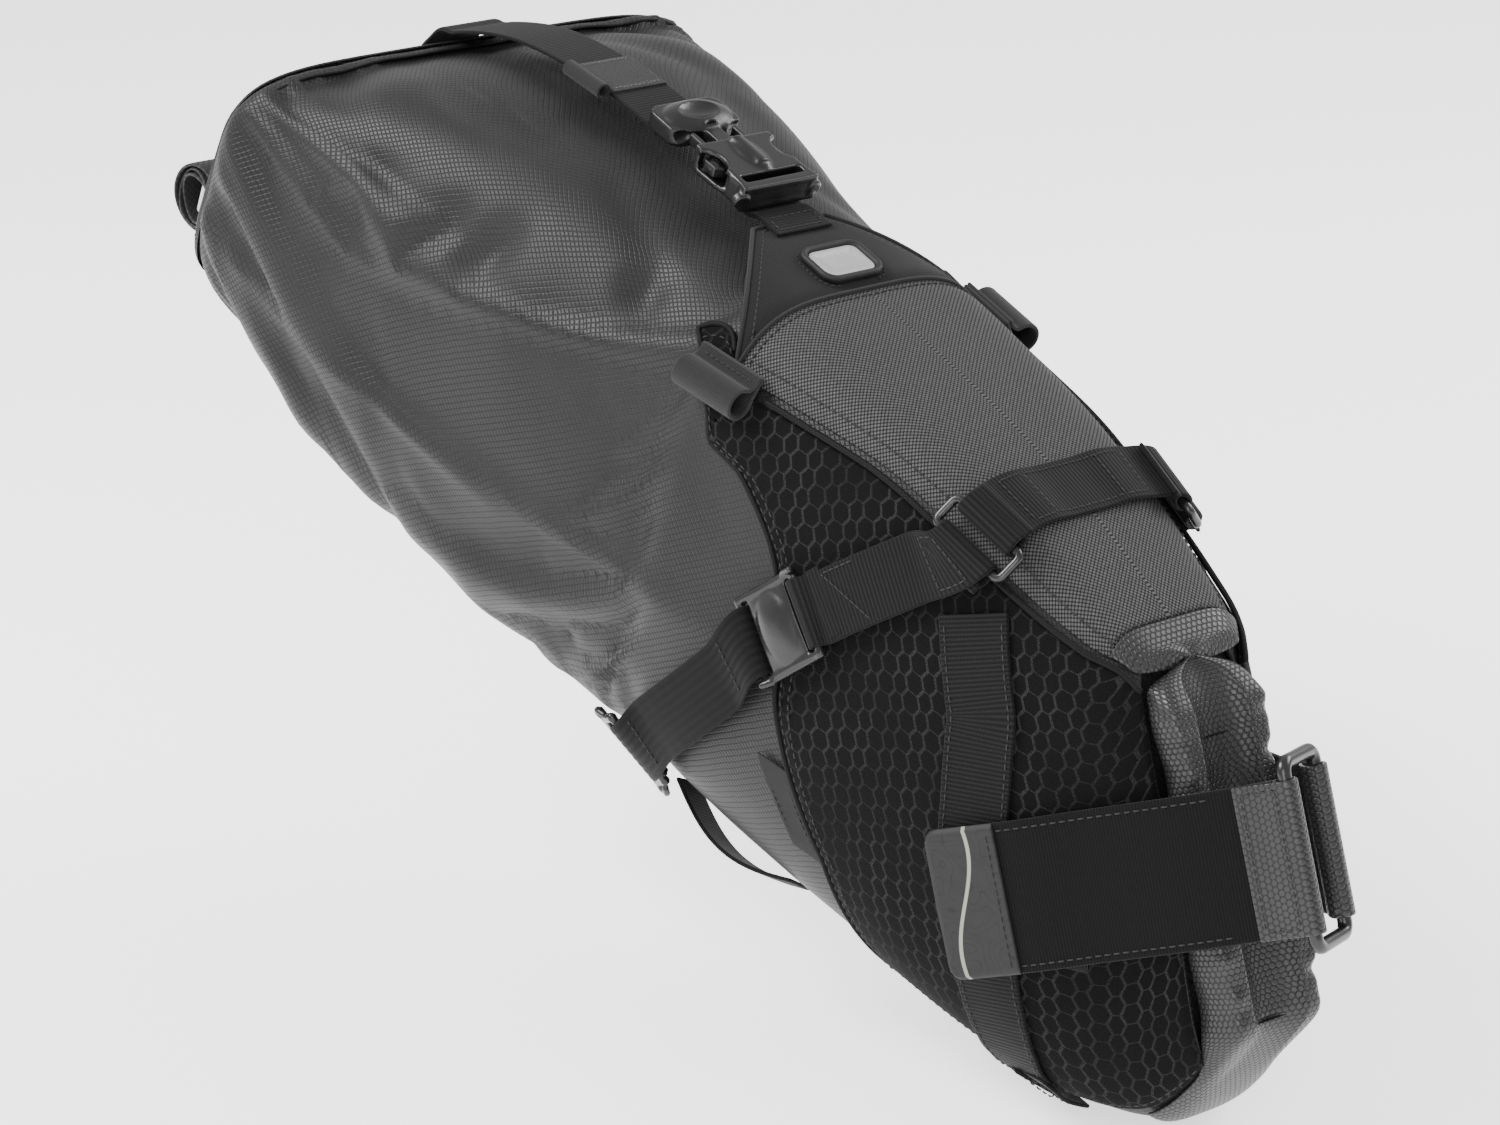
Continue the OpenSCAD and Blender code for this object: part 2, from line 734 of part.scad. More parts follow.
// Coated piece folded round the ring bar and stitched to the band
module band_wrap() {
    near = NEAR_BAR + (post_bar_hole + 0.4) * band_line;
    color(panel_grey)
        on_post()
            union() {
                post_fold_tube(NEAR_BAR);
                post_strap([NEAR_BAR + wrap_length * band_line, near],
                           band_thickness / 2 + 0.1, post_fold - 0.2, band_width);
            }
}

module pull_tab() {
    color(label_grey)
        on_post()
            post_strap(TAB_POINTS, band_thickness / 2 + 0.2, band_thickness / 2 + 2.2, band_width + 1);
}

// Strap that holds the far bar of the ring to the left side of the nose
module ring_anchor() {
    line = unit([-12, 28.5] - FAR_BAR);
    color(panel_grey)
        on_post()
            union() {
                post_fold_tube(FAR_BAR);
                post_strap([FAR_BAR + (post_bar_hole + 0.3) * line, [-12, 28.5], [-38, 43], [-57, 54]],
                           -band_thickness / 2, band_thickness / 2, band_width);
            }
}

// ---- roll closure ----

MOUTH_TOP = [STATIONS[0][0], STATIONS[0][1]];
MOUTH_LOW = [STATIONS[0][2], STATIONS[0][3]];
mouth_height = norm(MOUTH_TOP - MOUTH_LOW);
mouth_tilt = atan2(MOUTH_TOP[0] - MOUTH_LOW[0], MOUTH_TOP[1] - MOUTH_LOW[1]);
roll_height = 40;
roll_back = roll_diameter / 2 + 2;
roll_half_width = 100;
roll_wall = 4.5;

// Places a side outline [up the mouth, behind it] across the bag
module across_mouth(half_width) {
    translate([MOUTH_LOW[0], 0, MOUTH_LOW[1]])
        rotate([0, mouth_tilt, 0])
            rotate([90, -90, 0])
                linear_extrude(2 * half_width, center = true)
                    children();
}

function mouth_point(up, back) =
    [MOUTH_LOW[0], 0, MOUTH_LOW[1]] + up * [sin(mouth_tilt), 0, cos(mouth_tilt)]
        - back * [cos(mouth_tilt), 0, -sin(mouth_tilt)];

// Collar that closes the mouth, rolled up at its end
module roll_closure() {
    color(fabric_grey)
        across_mouth(roll_half_width)
            difference() {
                union() {
                    polygon([[2, 0.8], [mouth_height - 3, 0.8], [mouth_height - 14, 6],
                             [roll_height + 12, 13], [roll_height - 14, 12], [8, 5]]);
                    translate([roll_height, roll_back])
                        circle(d = roll_diameter, $fn = 64);
                }
                translate([roll_height, roll_back])
                    circle(d = roll_diameter - 2 * roll_wall, $fn = 64);
            }
}

// Stiff strip that the closure is rolled round
module roll_stiffener() {
    color("gainsboro")
        across_mouth(roll_half_width - 3)
            translate([roll_height, roll_back])
                square([roll_diameter - 14, 3], center = true);
}

strap_front = 2.42;
strap_rise = 1.6;

// Strap over the roll, from under the mouth to the plug
module closure_strap() {
    top = [for (i = [0:9]) let (s = blend(strap_front, 0.12, i / 9))
        [lift(s, 90, strap_rise), normal(s, 90)]];
    back = [-cos(mouth_tilt), 0, sin(mouth_tilt)];
    up = [sin(mouth_tilt), 0, cos(mouth_tilt)];
    roll_out = roll_diameter / 2 + 0.6;
    over = [[mouth_point(mouth_height + 1.4, 3), unit(up + 0.6 * back)],
            [mouth_point(mouth_height - 8, 9.5), unit(0.5 * up + back)]];
    around_roll = [for (a = [60, 30, 0, -30, -60, -85])
        [mouth_point(roll_height + roll_out * sin(a), roll_back + roll_out * cos(a)),
         unit(sin(a) * up + cos(a) * back)]];
    tail = [[mouth_point(9, 7.5), back], [mouth_point(3, 3.2), unit(back - 0.5 * up)]];
    color(web_black)
        ribbon(concat(top, over, around_roll, tail), webbing_width, webbing_thickness);
}

PATCH_STATION = 1.78;

// Patch of hook fastener sewn on the strap
module closure_patch() {
    path = [for (i = [-2:2]) let (s = PATCH_STATION - 0.1 * i)
        [lift(s, 90, strap_rise + webbing_thickness + 0.2), normal(s, 90)]];
    color(fabric_black)
        ribbon(path, webbing_width - 1, 1.0);
}

keeper_fold = 3;
keeper_length = 22;

// Sleeve beside the patch, folded round the edge of the strap to keep its tail
module closure_keeper() {
    color(label_grey)
        on_skin(PATCH_STATION, 90, strap_rise)
            translate([0, -webbing_width / 2 - keeper_fold - 0.3, keeper_fold - 0.6])
                rotate([0, 90, 0])
                    linear_extrude(keeper_length, center = true)
                        difference() {
                            circle(r = keeper_fold, $fn = 48);
                            circle(r = keeper_fold - 1, $fn = 48);
                        }
}

// ---- side-release buckle: x forward, plug behind, socket in front ----

BUCKLE_STATION = 2.83;
BUCKLE_LIFT = 3.4;
socket_length = 31;
socket_half = 17;
cavity_half = 13.6;
shell = 1.8;
prong_root = -10;
prong_y = 9.5;
prong_width = 2.6;
prong_low = 3.2;
prong_high = 7.8;

module on_buckle() {
    on_skin(BUCKLE_STATION, 90, BUCKLE_LIFT)
        children();
}

module rounded(length, width, radius) {
    for (x = [radius, length - radius], y = [-1, 1])
        translate([x, y * (width / 2 - radius)])
            circle(r = radius, $fn = 48);
    translate([radius, -width / 2])
        square([length - 2 * radius, width]);
    translate([0, -width / 2 + radius])
        square([length, width - 2 * radius]);
}

module buckle_socket() {
    color(gunmetal)
        on_buckle()
            difference() {
                linear_extrude(buckle_height)
                    rounded(socket_length, 2 * socket_half, 4);
                translate([-1, -cavity_half, shell])
                    cube([20, 2 * cavity_half, buckle_height - 2 * shell]);
                translate([-1, -socket_half - 1, prong_low - 0.6])
                    cube([17, 2 * socket_half + 2, prong_high - prong_low + 1.2]);
                translate([22, -webbing_width / 2 - 0.6, -1])
                    cube([5, webbing_width + 1.2, buckle_height + 2]);
            }
}

module buckle_plug() {
    color(gunmetal)
        on_buckle()
            union() {
                difference() {
                    translate([-31, 0, 0.6])
                        linear_extrude(buckle_height - 2)
                            rounded(19.4, 2 * socket_half - 2, 4);
                    translate([-27, -webbing_width / 2 - 0.6, -1])
                        cube([4.5, webbing_width + 1.2, buckle_height + 2]);
                }
                translate([-12, -3.4, prong_low])
                    cube([27, 6.8, prong_high - prong_low]);
            }
}

// Springy prong with its button, on the left of the plug
module prong() {
    color(gunmetal)
        on_buckle()
            translate([0, 0, prong_low])
                linear_extrude(prong_high - prong_low)
                    union() {
                        translate([prong_root, prong_y])
                            circle(d = prong_width, $fn = 48);
                        translate([prong_root, prong_y - prong_width / 2])
                            square([22, prong_width]);
                        polygon([[4, prong_y], [14, prong_y], [14, 12.4], [12, 16.2], [6, 16.2], [4.4, 12]]);
                    }
}

// Short webbing from the socket to the tongue
module tongue_webbing() {
    f = frame_at(BUCKLE_STATION, 90, BUCKLE_LIFT);
    start = [[to_world(f, [24, 0, -1.9]), f[3]], [to_world(f, [31, 0, -1.9]), f[3]]];
    run = [for (i = [0:3]) let (s = blend(3.42, 3.72, i / 3))
        [lift(s, 90, i < 1 ? 1.4 : SKIN_GAP + panel_thickness + 0.4), normal(s, 90)]];
    color(web_black)
        ribbon(concat(start, run), webbing_width - 1, webbing_thickness);
}

bag_panel(45);  // bag_top
bag_panel(135);  // bag_right
bag_panel(225);  // bag_bottom
bag_panel(315);  // bag_left
bag_nose();
mouth_hem();
side_panel();  // side_panel_right
left() side_panel();  // side_panel_left
top_panel();
tongue_panel();
nose_panel();
nose_pad();
nose_stiffener();
base_stiffener();
piping();  // piping_right
left() piping();  // piping_left
badge_rim();
badge_insert();
side_label();
cross_webbing();
side_webbing();  // side_webbing_right
left() side_webbing();  // side_webbing_left
keeper_loop();  // keeper_loop_right
left() keeper_loop();  // keeper_loop_left
hook_loop();  // hook_loop_right
left() hook_loop();  // hook_loop_left
band_landing();
ring_anchor();
tongue_webbing();
buckle_socket();
roll_closure();
roll_stiffener();
closure_strap();
closure_patch();
closure_keeper();
buckle_plug();
left() prong();  // buckle_prong_right
prong();  // buckle_prong_left
rail_ring();  // rail_ring_right
left() rail_ring();  // rail_ring_left
rail_strap();  // rail_strap_right
left() rail_strap();  // rail_strap_left
hook_plate();  // hook_plate_right
left() hook_plate();  // hook_plate_left
elastic();  // elastic_right
left() elastic();  // elastic_left
lower_hook();  // lower_hook_right
left() lower_hook();  // lower_hook_left
seatpost_ring();
seatpost_band();
band_wrap();
pull_tab();
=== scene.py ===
import math

import bpy
import numpy as np
from mathutils import Matrix, Vector


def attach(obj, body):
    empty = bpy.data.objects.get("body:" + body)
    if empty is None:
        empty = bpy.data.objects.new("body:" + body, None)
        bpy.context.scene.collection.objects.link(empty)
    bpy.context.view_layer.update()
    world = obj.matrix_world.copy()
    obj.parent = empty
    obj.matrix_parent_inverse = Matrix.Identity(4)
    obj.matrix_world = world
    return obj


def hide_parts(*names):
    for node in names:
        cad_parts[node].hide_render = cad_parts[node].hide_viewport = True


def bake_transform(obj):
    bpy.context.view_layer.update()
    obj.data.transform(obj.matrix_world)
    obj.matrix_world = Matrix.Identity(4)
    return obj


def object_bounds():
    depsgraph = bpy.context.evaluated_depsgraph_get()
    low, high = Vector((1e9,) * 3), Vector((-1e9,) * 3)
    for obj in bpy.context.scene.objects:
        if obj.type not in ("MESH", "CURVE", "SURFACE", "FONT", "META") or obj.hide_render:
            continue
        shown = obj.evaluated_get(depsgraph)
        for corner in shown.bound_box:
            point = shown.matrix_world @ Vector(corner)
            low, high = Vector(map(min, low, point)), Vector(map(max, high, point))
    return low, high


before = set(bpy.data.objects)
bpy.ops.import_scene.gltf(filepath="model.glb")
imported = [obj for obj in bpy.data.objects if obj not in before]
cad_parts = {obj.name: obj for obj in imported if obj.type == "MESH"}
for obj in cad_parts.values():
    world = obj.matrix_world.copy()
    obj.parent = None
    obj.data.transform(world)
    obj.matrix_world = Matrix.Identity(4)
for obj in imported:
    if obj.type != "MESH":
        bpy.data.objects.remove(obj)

# The look of the seat pack. Shapes are worked out in millimetres in the frame of the CAD
# model (+X forward, +Y rider's left, +Z up) and become metres when a mesh is made.
MM = 0.001
cad_low, cad_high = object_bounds()
RNG = np.random.default_rng(7)


# ---------------------------------------------------------------- camera

def add_object(name, data):
    made = bpy.data.objects.new(name, data)
    bpy.context.scene.collection.objects.link(made)
    return made


def add_mesh(name, points, faces):
    mesh = bpy.data.meshes.new(name)
    mesh.from_pydata(points, [], faces)
    return add_object(name, mesh)


def make_camera(azimuth, elevation, roll, distance, look_at, lens):
    """A camera at degrees round from the rear and degrees up, metres away from what it looks at."""
    a, e, r = (math.radians(v) for v in (azimuth, elevation, roll))
    back = Vector((math.sin(a) * math.cos(e), -math.cos(a) * math.cos(e), math.sin(e)))
    right = Vector((math.cos(a), math.sin(a), 0))
    up = back.cross(right)
    across = math.cos(r) * right + math.sin(r) * up
    above = -math.sin(r) * right + math.cos(r) * up
    data = bpy.data.cameras.new("camera")
    data.sensor_width = 36.0
    data.lens = lens
    data.clip_start = 0.05
    data.clip_end = 50.0
    camera = add_object("camera", data)
    turn = Matrix((across, above, back)).transposed().to_4x4()
    camera.matrix_world = Matrix.Translation(Vector(look_at) + distance * back) @ turn
    bpy.context.scene.camera = camera


make_camera(azimuth=52.0, elevation=17.3, roll=-1.5, distance=1.65,
            look_at=(-0.268, 0.0, 0.038), lens=107.7)


# ---------------------------------------------------------------- surface of the bag

# Cross-sections from the mouth (0) to the nose (10): top x, top z, bottom x, bottom z, half
# width, height of the widest line, taper, squareness above, squareness below, forward bow.
STATIONS = np.array([
    [-432, 213, -482, 113, 111, 0.42, -0.02, 6.0, 3.6, 0],
    [-382, 216, -430, 72, 107, 0.36, -0.06, 4.5, 3.2, 0],
    [-326, 203, -366, 32, 99, 0.38, -0.10, 4.0, 3.0, 0],
    [-268, 180, -300, -3, 89, 0.42, -0.16, 3.6, 3.0, 0],
    [-220, 161, -248, -29, 81, 0.46, -0.22, 3.8, 3.2, 0],
    [-173, 141, -194, -53, 75, 0.48, -0.26, 4.5, 3.2, 0],
    [-128, 121, -141, -73, 69, 0.50, -0.30, 5.0, 3.2, 0],
    [-88, 99, -96, -90, 61, 0.50, -0.32, 5.0, 3.2, 0],
    [-60, 80, -58, -101, 50, 0.50, -0.26, 5.0, 3.2, 1],
    [-46, 68, -30, -100, 37, 0.50, -0.16, 6.0, 3.2, 2],
    [-39, 61, -8, -76, 23, 0.50, -0.02, 8.0, 5.0, 3],
], float)
LAST = len(STATIONS) - 1
PANEL_EDGE = ((3.5, 4.45, 5.8, 7, 8.5, 10), (15, 53, 44, 37, 30, 21.5))
TONGUE_START = 3.55
TONGUE_SEAM = 4.45
SIDE_REAR = ((0, 0.27, 0.38, 0.5, 0.75, 1), (4.35, 4.0, 4.75, 5.15, 5.86, 6.15))
SIDE_LOW_ANGLE = 238
SKIN_GAP = 0.8
PANEL = 1.2
WALL = 2.0
WEB_LIFT = SKIN_GAP + PANEL + 0.5
WEBBING = 25.0
WEB_THICK = 1.4
STRAP_LIFT = WEB_LIFT + WEB_THICK + 1.0
RIGHT, LEFT = 1.0, -1.0


def station(s):
    s = np.clip(np.asarray(s, float), 0, LAST)
    i = np.minimum(np.floor(s).astype(int), LAST - 1)
    f = (s - i)[..., None]
    p, q = STATIONS[np.maximum(i - 1, 0)], STATIONS[i]
    r, w = STATIONS[i + 1], STATIONS[np.minimum(i + 2, LAST)]
    return 0.5 * (2 * q + (r - p) * f + (2 * p - 5 * q + 4 * r - w) * f ** 2
                  + (3 * q - p - 3 * r + w) * f ** 3)


def signed_pow(a, p):
    return np.sign(a) * np.abs(a) ** p


def unit(v):
    v = np.asarray(v, float)
    return v / np.maximum(np.linalg.norm(v, axis=-1, keepdims=True), 1e-12)


def skin(s, t):
    """Point of the smooth bag: station s, angle t (0 left, 90 top, 180 right, 270 bottom)."""
    s, t = np.broadcast_arrays(np.asarray(s, float), np.asarray(t, float))
    q = station(s)
    sine, cosine = np.sin(np.radians(t)), np.cos(np.radians(t))
    power = 2 / np.where(sine > 0, q[..., 7], q[..., 8])
    h = signed_pow(sine, power)
    y = q[..., 4] * signed_pow(cosine, power) * (1 + q[..., 6] * np.maximum(h, 0))
    f = q[..., 5] + h * np.where(h > 0, 1 - q[..., 5], q[..., 5])
    rise_x, rise_z = q[..., 0] - q[..., 2], q[..., 1] - q[..., 3]
    length = np.hypot(rise_x, rise_z)
    bow = q[..., 9] * (1 - (2 * f - 1) ** 2)
    return np.stack([q[..., 2] + f * rise_x + bow * rise_z / length, y,
                     q[..., 3] + f * rise_z - bow * rise_x / length], -1)


def along(s, t):
    s = np.asarray(s, float)
    return unit(skin(s + 0.03, t) - skin(s - 0.03, t))


def normal(s, t):
    t = np.asarray(t, float)
    return unit(np.cross(skin(s, t + 0.6) - skin(s, t - 0.6), along(s, t)))


def top_angle(s, y):
    """Angle of a point on the top at distance y to the right of the centre."""
    q = station(s)
    share = np.minimum(1, np.abs(y) / (q[..., 4] * (1 + q[..., 6])))
    return 90 + np.sign(y) * np.degrees(np.arcsin(share ** (q[..., 7] / 2)))


def side_angle(s, h):
    """Angle of a point on the right side at height h: 1 top, 0 widest line, -1 bottom."""
    q = station(s)
    h = np.asarray(h, float)
    power = np.where(h > 0, q[..., 7], q[..., 8]) / 2
    return 180 - np.sign(h) * np.degrees(np.arcsin(np.abs(h) ** power))


def edge_angle(s):
    return top_angle(s, np.interp(s, *PANEL_EDGE))


def mix(a, b, f):
    return a + (b - a) * f


def smooth(x):
    x = np.clip(x, 0, 1)
    return x * x * (3 - 2 * x)


# Lengths measured on the surface: ARC is the way round from the top centre at each station
# and angle, and ALONG the way forward from station 5 at each share of that way.
S_GRID = np.linspace(0, LAST, 161)
_quarter = 45 * (1 - np.cos(np.pi * np.linspace(0, 1, 91)))
T_GRID = np.concatenate([90 + _quarter, 180 + _quarter[1:]])
SHARES = np.linspace(0, 1, 97)


def measure_surface():
    points = skin(S_GRID[:, None], T_GRID[None, :])
    steps = np.linalg.norm(np.diff(points, axis=1), axis=-1)
    arc = np.concatenate([np.zeros((len(S_GRID), 1)), np.cumsum(steps, 1)], 1)
    angle = np.array([np.interp(SHARES * row[-1], row, T_GRID) for row in arc])
    lines = skin(S_GRID[:, None], angle)
    forward = np.concatenate([np.zeros((1, len(SHARES))),
                              np.cumsum(np.linalg.norm(np.diff(lines, axis=0), axis=-1), 0)], 0)
    return arc, angle, forward - forward[len(S_GRID) // 2]


ARC, ANGLE, ALONG = measure_surface()


def look_up(table, s, column):
    """Bilinear value of a table of stations by columns."""
    row = np.clip(s, 0, LAST) / LAST * (len(S_GRID) - 1)
    r = np.minimum(row.astype(int), len(S_GRID) - 2)
    c = np.clip(column.astype(int), 0, table.shape[1] - 2)
    fr, fc = row - r, column - c
    return ((table[r, c] * (1 - fc) + table[r, c + 1] * fc) * (1 - fr)
            + (table[r + 1, c] * (1 - fc) + table[r + 1, c + 1] * fc) * fr)


def surface_uv(s, t):
    """(way round from the top centre, right positive; way forward from station 5), in mm."""
    s, t = np.broadcast_arrays(np.asarray(s, float), np.asarray(t, float) % 360)
    on_left = (t < 90) | (t > 270)
    folded = np.where(on_left, (180 - t) % 360, t)
    round_way = look_up(ARC, s, np.interp(folded, T_GRID, np.arange(len(T_GRID))))
    total = np.interp(s, S_GRID, ARC[:, -1])
    share = np.clip(round_way / total, 0, 1) * (len(SHARES) - 1)
    return np.stack([np.where(on_left, -round_way, round_way), look_up(ALONG, s, share)], -1)


def angle_at(s, share):
    """Angle at a share of the half girth: 0 top centre, 1 bottom centre, negative on the left."""
    s, share = np.broadcast_arrays(np.asarray(s, float), np.asarray(share, float))
    t = look_up(ANGLE, s, np.abs(share) * (len(SHARES) - 1))
    return np.where(share < 0, (180 - t) % 360, t)


# Soft folds and dents: station, height on the side (1 top, 0 widest, -1 bottom), length along
# the bag, length round it, turn in degrees, depth (negative is inward), side (0 both).
FOLDS = [
    (1.30, 0.55, 8, 22, 24, -6.6, RIGHT), (1.92, 0.64, 6, 19, 30, -5.8, RIGHT),
    (2.32, 0.72, 6, 16, 32, -5.4, RIGHT), (3.33, 0.86, 9, 11, 10, -4.6, RIGHT),
    (1.62, 0.60, 8, 22, 26, 1.6, RIGHT), (2.62, 0.62, 9, 20, 26, 1.4, RIGHT),
    (0.75, 0.30, 26, 44, 10, 2.2, 0), (2.90, 0.25, 34, 40, 0, 2.4, 0),
    (1.75, 0.05, 8, 24, -20, -2.2, RIGHT), (3.70, 0.30, 8, 26, 20, -2.0, RIGHT),
    (0.45, -0.55, 10, 34, 0, -3.0, 0), (1.15, -0.60, 12, 36, 14, 2.4, 0),
    (1.85, -0.62, 9, 34, -12, -3.2, 0), (2.50, -0.62, 13, 34, 8, 2.2, 0),
    (3.15, -0.62, 9, 30, -10, -2.8, 0), (3.75, -0.50, 10, 26, 6, 1.4, 0),
    (1.20, 0.58, 10, 24, -22, -3.4, LEFT), (2.10, 0.66, 9, 22, -30, -3.2, LEFT),
    (3.00, 0.50, 9, 24, -18, -2.4, LEFT), (1.75, 0.05, 10, 26, 12, -2.0, LEFT),
    (0.55, 0.97, 20, 10, 34, -2.6, 0), (1.15, 0.99, 34, 8, 16, -2.2, 0),
    (1.95, 0.985, 34, 8, -10, -2.2, 0), (2.85, 0.97, 30, 8, 14, -2.0, 0),
    (6.10, 0.10, 30, 24, 20, -0.9, 0), (6.90, -0.45, 18, 30, 0, -1.0, 0),
    (8.35, 0.45, 22, 12, 0, -1.2, 0), (8.90, 0.00, 16, 26, 0, -1.1, 0),
    (5.40, 0.995, 26, 14, 0, -0.7, 0), (7.90, 0.995, 16, 18, 0, -1.0, 0),
]
CREASE_HEIGHT = 2.8


def relief(s, t):
    """How far the soft surface stands out of the smooth one, in mm."""
    s, t = np.broadcast_arrays(np.asarray(s, float), np.asarray(t, float) % 360)
    uv = surface_uv(s, t)
    u, v = uv[..., 0], uv[..., 1]
    side = np.sign(u)
    way = np.abs(u)
    out = np.zeros(u.shape)
    for place, height, lead, girth, turn, depth, on in FOLDS:
        centre = surface_uv(place, side_angle(place, height))
        dv, du = v - centre[1], way - centre[0]
        c, n = math.cos(math.radians(turn)), math.sin(math.radians(turn))
        bump = depth * np.exp(-((c * dv + n * du) / lead) ** 2 - ((c * du - n * dv) / girth) ** 2)
        out += np.where((on == 0) | (side == on), bump, 0)
    crease = surface_uv(s, np.full(s.shape, 180.0))[..., 0]
    sharp = smooth((4.6 - s) / 0.8) * smooth((s + 0.2) / 0.5)
    below = way - crease
    out += sharp * CREASE_HEIGHT * np.exp(-(below / 5.5) ** 2)
    out -= sharp * 3.0 * np.exp(-((below - 24) / 14.0) ** 2)
    out += sharp * 0.5 * np.sin(v / 9.3 + 0.04 * u) * np.exp(-((below - 20) / 26.0) ** 2)
    ripple = np.sin(v / 13.1 + u / 29.0) * np.sin(u / 17.3 - v / 41.0)
    out += 0.35 * ripple * smooth((5.2 - s) / 1.5)
    under_strap = np.exp(-(way / 17.0) ** 2) * smooth((3.9 - s) / 0.4)
    return out * (1 - 0.9 * under_strap) - 0.5 * under_strap


def lift(s, t, height, soft=True):
    """Point at a height over the bag; soft follows the folds of the fabric."""
    raised = height + (relief(s, t) if soft else 0.0)
    return skin(s, t) + np.asarray(raised)[..., None] * normal(s, t)


# ---------------------------------------------------------------- frames

class Frame:
    """A place with three axes, for the pieces that sit on the bag or on the seatpost."""

    def __init__(self, origin, x, y, z):
        self.origin, self.x, self.y, self.z = (np.asarray(v, float) for v in (origin, x, y, z))

    def at(self, points):
        p = np.asarray(points, float)
        return self.origin + p[..., :1] * self.x + p[..., 1:2] * self.y + p[..., 2:3] * self.z

    def turned(self, vectors):
        p = np.asarray(vectors, float)
        return p[..., :1] * self.x + p[..., 1:2] * self.y + p[..., 2:3] * self.z


def frame_at(s, t, height, forward=None):
    """Frame on the smooth surface: x forward along the bag (or given), z away from it."""
    z = normal(s, t)
    y = unit(np.cross(z, along(s, t) if forward is None else forward))
    return Frame(skin(s, t) + height * z, np.cross(y, z), y, z)


POST_LEAN = math.radians(16.3)
POST = Frame((0, 0, 0), (math.cos(POST_LEAN), 0, math.sin(POST_LEAN)), (0, 1, 0),
             (-math.sin(POST_LEAN), 0, math.cos(POST_LEAN)))

RING_STATION, RING_GAP, RING_WIRE = 6.85, 11.0, 3.2
RING = frame_at(RING_STATION, edge_angle(RING_STATION) - 8, 8.0)
BAR_HOLE = RING_WIRE / 2 + 0.35
HOOK_STOPS = np.array([[6.45, 0.70], [5.45, 0.22], [4.05, -0.74]])
_strap_line = (skin(HOOK_STOPS[0][0], side_angle(*HOOK_STOPS[0]))
               - skin(HOOK_STOPS[2][0], side_angle(*HOOK_STOPS[2])))
PLATE = frame_at(HOOK_STOPS[1][0], side_angle(*HOOK_STOPS[1]), STRAP_LIFT + 1.2, _strap_line)
LOWER = frame_at(HOOK_STOPS[2][0], side_angle(*HOOK_STOPS[2]), STRAP_LIFT + 0.6, _strap_line)
PLATE_LENGTH = 26.0
BUCKLE_STATION = 2.83
BUCKLE = frame_at(BUCKLE_STATION, 90, 3.4)


# ---------------------------------------------------------------- meshes

def make(name, points, faces, corner_uv, look, body, replaces=(), side=RIGHT):
    """A mesh object from points in mm, riding on a body; a left piece is the mirror image."""
    points = np.array(points, float)
    points[:, 1] *= side
    faces = [list(f) for f in faces]
    first = points[[f[0] for f in faces]]
    volume = 0.0
    for k in (1, 2):
        rows = [i for i, f in enumerate(faces) if len(f) > k + 1]
        b = points[[faces[i][k] for i in rows]]
        c = points[[faces[i][k + 1] for i in rows]]
        volume += np.einsum("ij,ij->i", first[rows], np.cross(b, c)).sum()
    if volume < 0:
        faces = [f[::-1] for f in faces]
        corner_uv = [c[::-1] for c in corner_uv] if corner_uv is not None else None
    piece = add_mesh(name, (points * MM).tolist(), faces)
    if corner_uv is not None:
        layer = piece.data.uv_layers.new(name="cloth")
        layer.data.foreach_set("uv", np.concatenate(corner_uv).astype(float).ravel())
    piece.data.polygons.foreach_set("use_smooth", [True] * len(faces))
    if look is not None:
        piece.data.materials.append(material(look))
    if body is not None:
        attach(piece, body)
    if replaces:
        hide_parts(*replaces)
    return piece


def way_along(points):
    """Distance along a line of points, from 0 at the first."""
    return np.concatenate([[0], np.cumsum(np.linalg.norm(np.diff(points, axis=0), axis=1))])


def at_height(flat, z):
    """Points in a plane, with the same third value for all."""
    return np.concatenate([flat, np.full((len(flat), 1), float(z))], 1)


def ringed(grid):
    """A grid whose last column joins its first."""
    return np.concatenate([grid, grid[:, :1]], 1)


def number_grid(rows, cols):
    return np.arange(rows * cols).reshape(rows, cols)


def caps(ids):
    """The two end faces of a ringed grid."""
    return [ids[0, :-1][::-1].tolist(), ids[-1, :-1].tolist()]


def quads(ids):
    return np.stack([ids[:-1, :-1], ids[:-1, 1:], ids[1:, 1:], ids[1:, :-1]], -1).reshape(-1, 4)


def rim_quads(low, high):
    return np.stack([low[:-1], low[1:], high[1:], high[:-1]], -1)


def round_border(outer, inner, uv, wrap, amount=0.5):
    """Adds border rows that round the edge of a thin shell."""
    def grow(outer, inner, uv, axis):
        take = lambda a, i: np.take(a, [i], axis=axis)
        for last, near in ((0, 1), (-1, -2)):
            o, i = take(outer, last), take(inner, last)
            out = unit(o - take(outer, near)) * 0.5 + unit(i - take(inner, near)) * 0.5
            up = o - i
            thick = np.linalg.norm(up, axis=-1, keepdims=True)
            o2 = o + out * thick * amount * 0.8 - up * 0.26
            i2 = i + out * thick * amount * 0.8 + up * 0.26
            o1 = o + out * thick * amount * 0.45 - up * 0.06
            i1 = i + out * thick * amount * 0.45 + up * 0.06
            u = take(uv, last)
            if last == 0:
                outer = np.concatenate([o2, o1, outer], axis)
                inner = np.concatenate([i2, i1, inner], axis)
                uv = np.concatenate([u, u, uv], axis)
            else:
                outer = np.concatenate([outer, o1, o2], axis)
                inner = np.concatenate([inner, i1, i2], axis)
                uv = np.concatenate([uv, u, u], axis)
        return outer, inner, uv
    outer, inner, uv = grow(outer, inner, uv, 0)
    if not wrap:
        outer, inner, uv = grow(outer, inner, uv, 1)
    return outer, inner, uv


